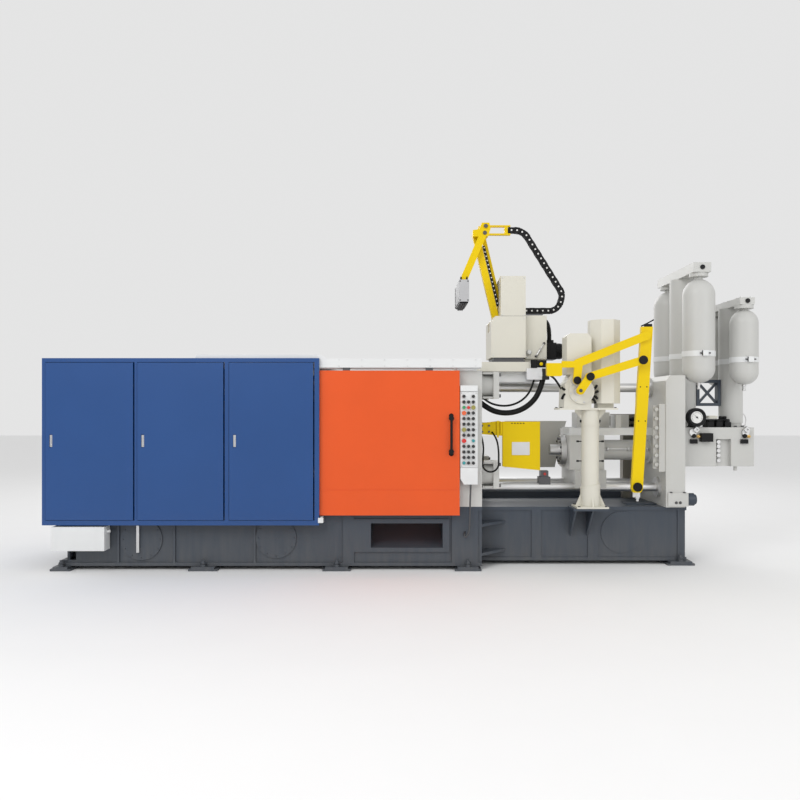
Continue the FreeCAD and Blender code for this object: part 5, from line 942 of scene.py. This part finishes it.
piece("long_arm_screws", *copies(small, [(2.505, -0.8115, 2.012), (2.575, -0.8115, 2.012),
                                         (2.485, -0.8115, 1.637), (2.559, -0.8115, 1.637)], "-y"),
      black_marks_and_gap_shade, body="ladler_hanging_arm", slot="black_plastic")
lever_box = box((2.555, 2.640), (-0.800, -0.765), (2.6715, 2.705))
lever_line = bow([(2.520, -0.785, 2.680), (2.585, -0.785, 2.708), (2.660, -0.785, 2.752)], 10)
lever = tube(lever_line, 0.0075, 10)
ease(piece("arm_lever", *joined(lever_box, lever), black_plastic, body="ladler_hanging_arm",
           slot="black_plastic"), 0.002)
cap_ring = turned([(0.050, 0), (0.050, 0.003), (0.030, 0.004), (0.030, 0.008), (0.012, 0.008)], 24)
piece("wrist_ring", *stood(cap_ring, (2.471, -0.8315, 0.913), "-y"), black_rubber, body="ladle",
      slot="black_rubber")
face_screws = ring_of((1.871, -0.7775, 1.965), 0.122, 8, "-y", 0.2)
piece("gearbox_screws", *copies(screw(0.008, "cap"), face_screws, "-y"), steel, slot="steel")
plate_screws = [(x, y, 1.780) for x in (1.652, 2.255) for y in (-0.725, -0.475)]
foot_screws = [(x, y, 0.6868) for x in (1.845, 2.140) for y in (-0.765, -0.525)]
piece("column_screws", *copies(screw(0.013), plate_screws + foot_screws), dark_steel, slot="steel")
clamp = turned([(0.006, 0.0), (0.006, 0.03), (0.011, 0.032), (0.011, 0.055), (0.008, 0.058)], 12)
clamps = joined(*[copies(clamp, [(1.996 + s * 0.096, -0.640, z) for z in (1.407, 1.187)],
                         "x" if s > 0 else "-x") for s in (-1, 1)],
                *[copies(turned([(0.007, 0), (0.007, 0.02)], 10),
                         [(1.996 + s * 0.096, -0.640, z) for z in (1.625, 1.640)],
                         "x" if s > 0 else "-x") for s in (-1, 1)])
piece("column_clamps", *clamps, black_plastic, slot="black_plastic")
sensors = []
for x, z, dx, dz in ((1.990, 1.985, 0.055, 0.045), (1.992, 1.950, 0.065, 0.015),
                     (1.990, 1.915, 0.06, -0.03), (1.985, 1.885, 0.045, -0.05),
                     (1.690, 1.985, -0.03, 0.02), (1.690, 1.930, -0.03, -0.05)):
    line_points = bow([(x - dx * 0.3, -0.72, z), (x + dx * 0.5, -0.765, z - dz * 0.2),
                       (x + dx, -0.735, z + dz)], 10)
    sensors.append(tube(line_points, 0.014, 12))
piece("sensor_plugs", *joined(*sensors), black_rubber, True, slot="black_rubber")
wrist_bolt = turned([(0.024, 0.0), (0.024, 0.02), (0.016, 0.03), (0.016, 0.05)], 8)
piece("wrist_bolt", *stood(wrist_bolt, (2.490, -0.745, 0.800), "-z"), steel, body="ladle", slot="steel")
print("ladler details")

# %% [markdown]
# ## Floor and light
# Three large soft area lights and a pale world stand in for a white studio: satin paint then
# shows broad, quiet highlights instead of hot spots. The floor is stage, not machine.

# %% Floor
def stage_plane(name, points, colour):
    """One flat matt face that only catches light and shadow."""
    mesh = bpy.data.meshes.new(name)
    mesh.from_pydata(points, [], [(0, 1, 2, 3)])
    thing = bpy.data.objects.new(name, mesh)
    bpy.context.collection.objects.link(thing)
    f = Finish(name, Roughness=0.9)
    mesh.materials.append(f.feed(f.blend(f.noise(2.0), rgb(colour, 0.98), rgb(colour, 1.0))))
    return thing


stage_plane("floor", [(-40, -40, 0), (40, -40, 0), (40, 40, 0), (-40, 40, 0)], (0.86, 0.86, 0.86))
print("floor laid")

# %% World and lights
world = bpy.data.worlds.new("studio")
world.use_nodes = True
world.node_tree.nodes["Background"].inputs["Color"].default_value = (1.0, 1.0, 1.0, 1.0)
world.node_tree.nodes["Background"].inputs["Strength"].default_value = 0.78
bpy.context.scene.world = world
bpy.context.scene.view_settings.view_transform = "Standard"


def soft_light(name, at, aim, size, power):
    """Square area light that looks from one point to another."""
    lamp = bpy.data.lights.new(name, "AREA")
    lamp.shape, lamp.size, lamp.energy = "SQUARE", size, power
    thing = bpy.data.objects.new(name, lamp)
    thing.location = at
    away = np.array(at, float) - np.array(aim, float)
    flat = math.hypot(away[0], away[1])
    thing.rotation_euler = (math.atan2(flat, away[2]), 0.0, math.atan2(away[1], away[0]) + math.pi / 2)
    bpy.context.collection.objects.link(thing)


soft_light("key", (-5.0, -9.0, 8.0), (0.0, 0.0, 1.2), 6.0, 430.0)
soft_light("fill", (7.0, -8.0, 5.0), (0.5, 0.0, 1.2), 6.0, 160.0)
soft_light("rear", (0.0, 9.0, 7.0), (0.0, 0.0, 1.5), 6.0, 300.0)
print(len(bpy.data.lights), "lights")
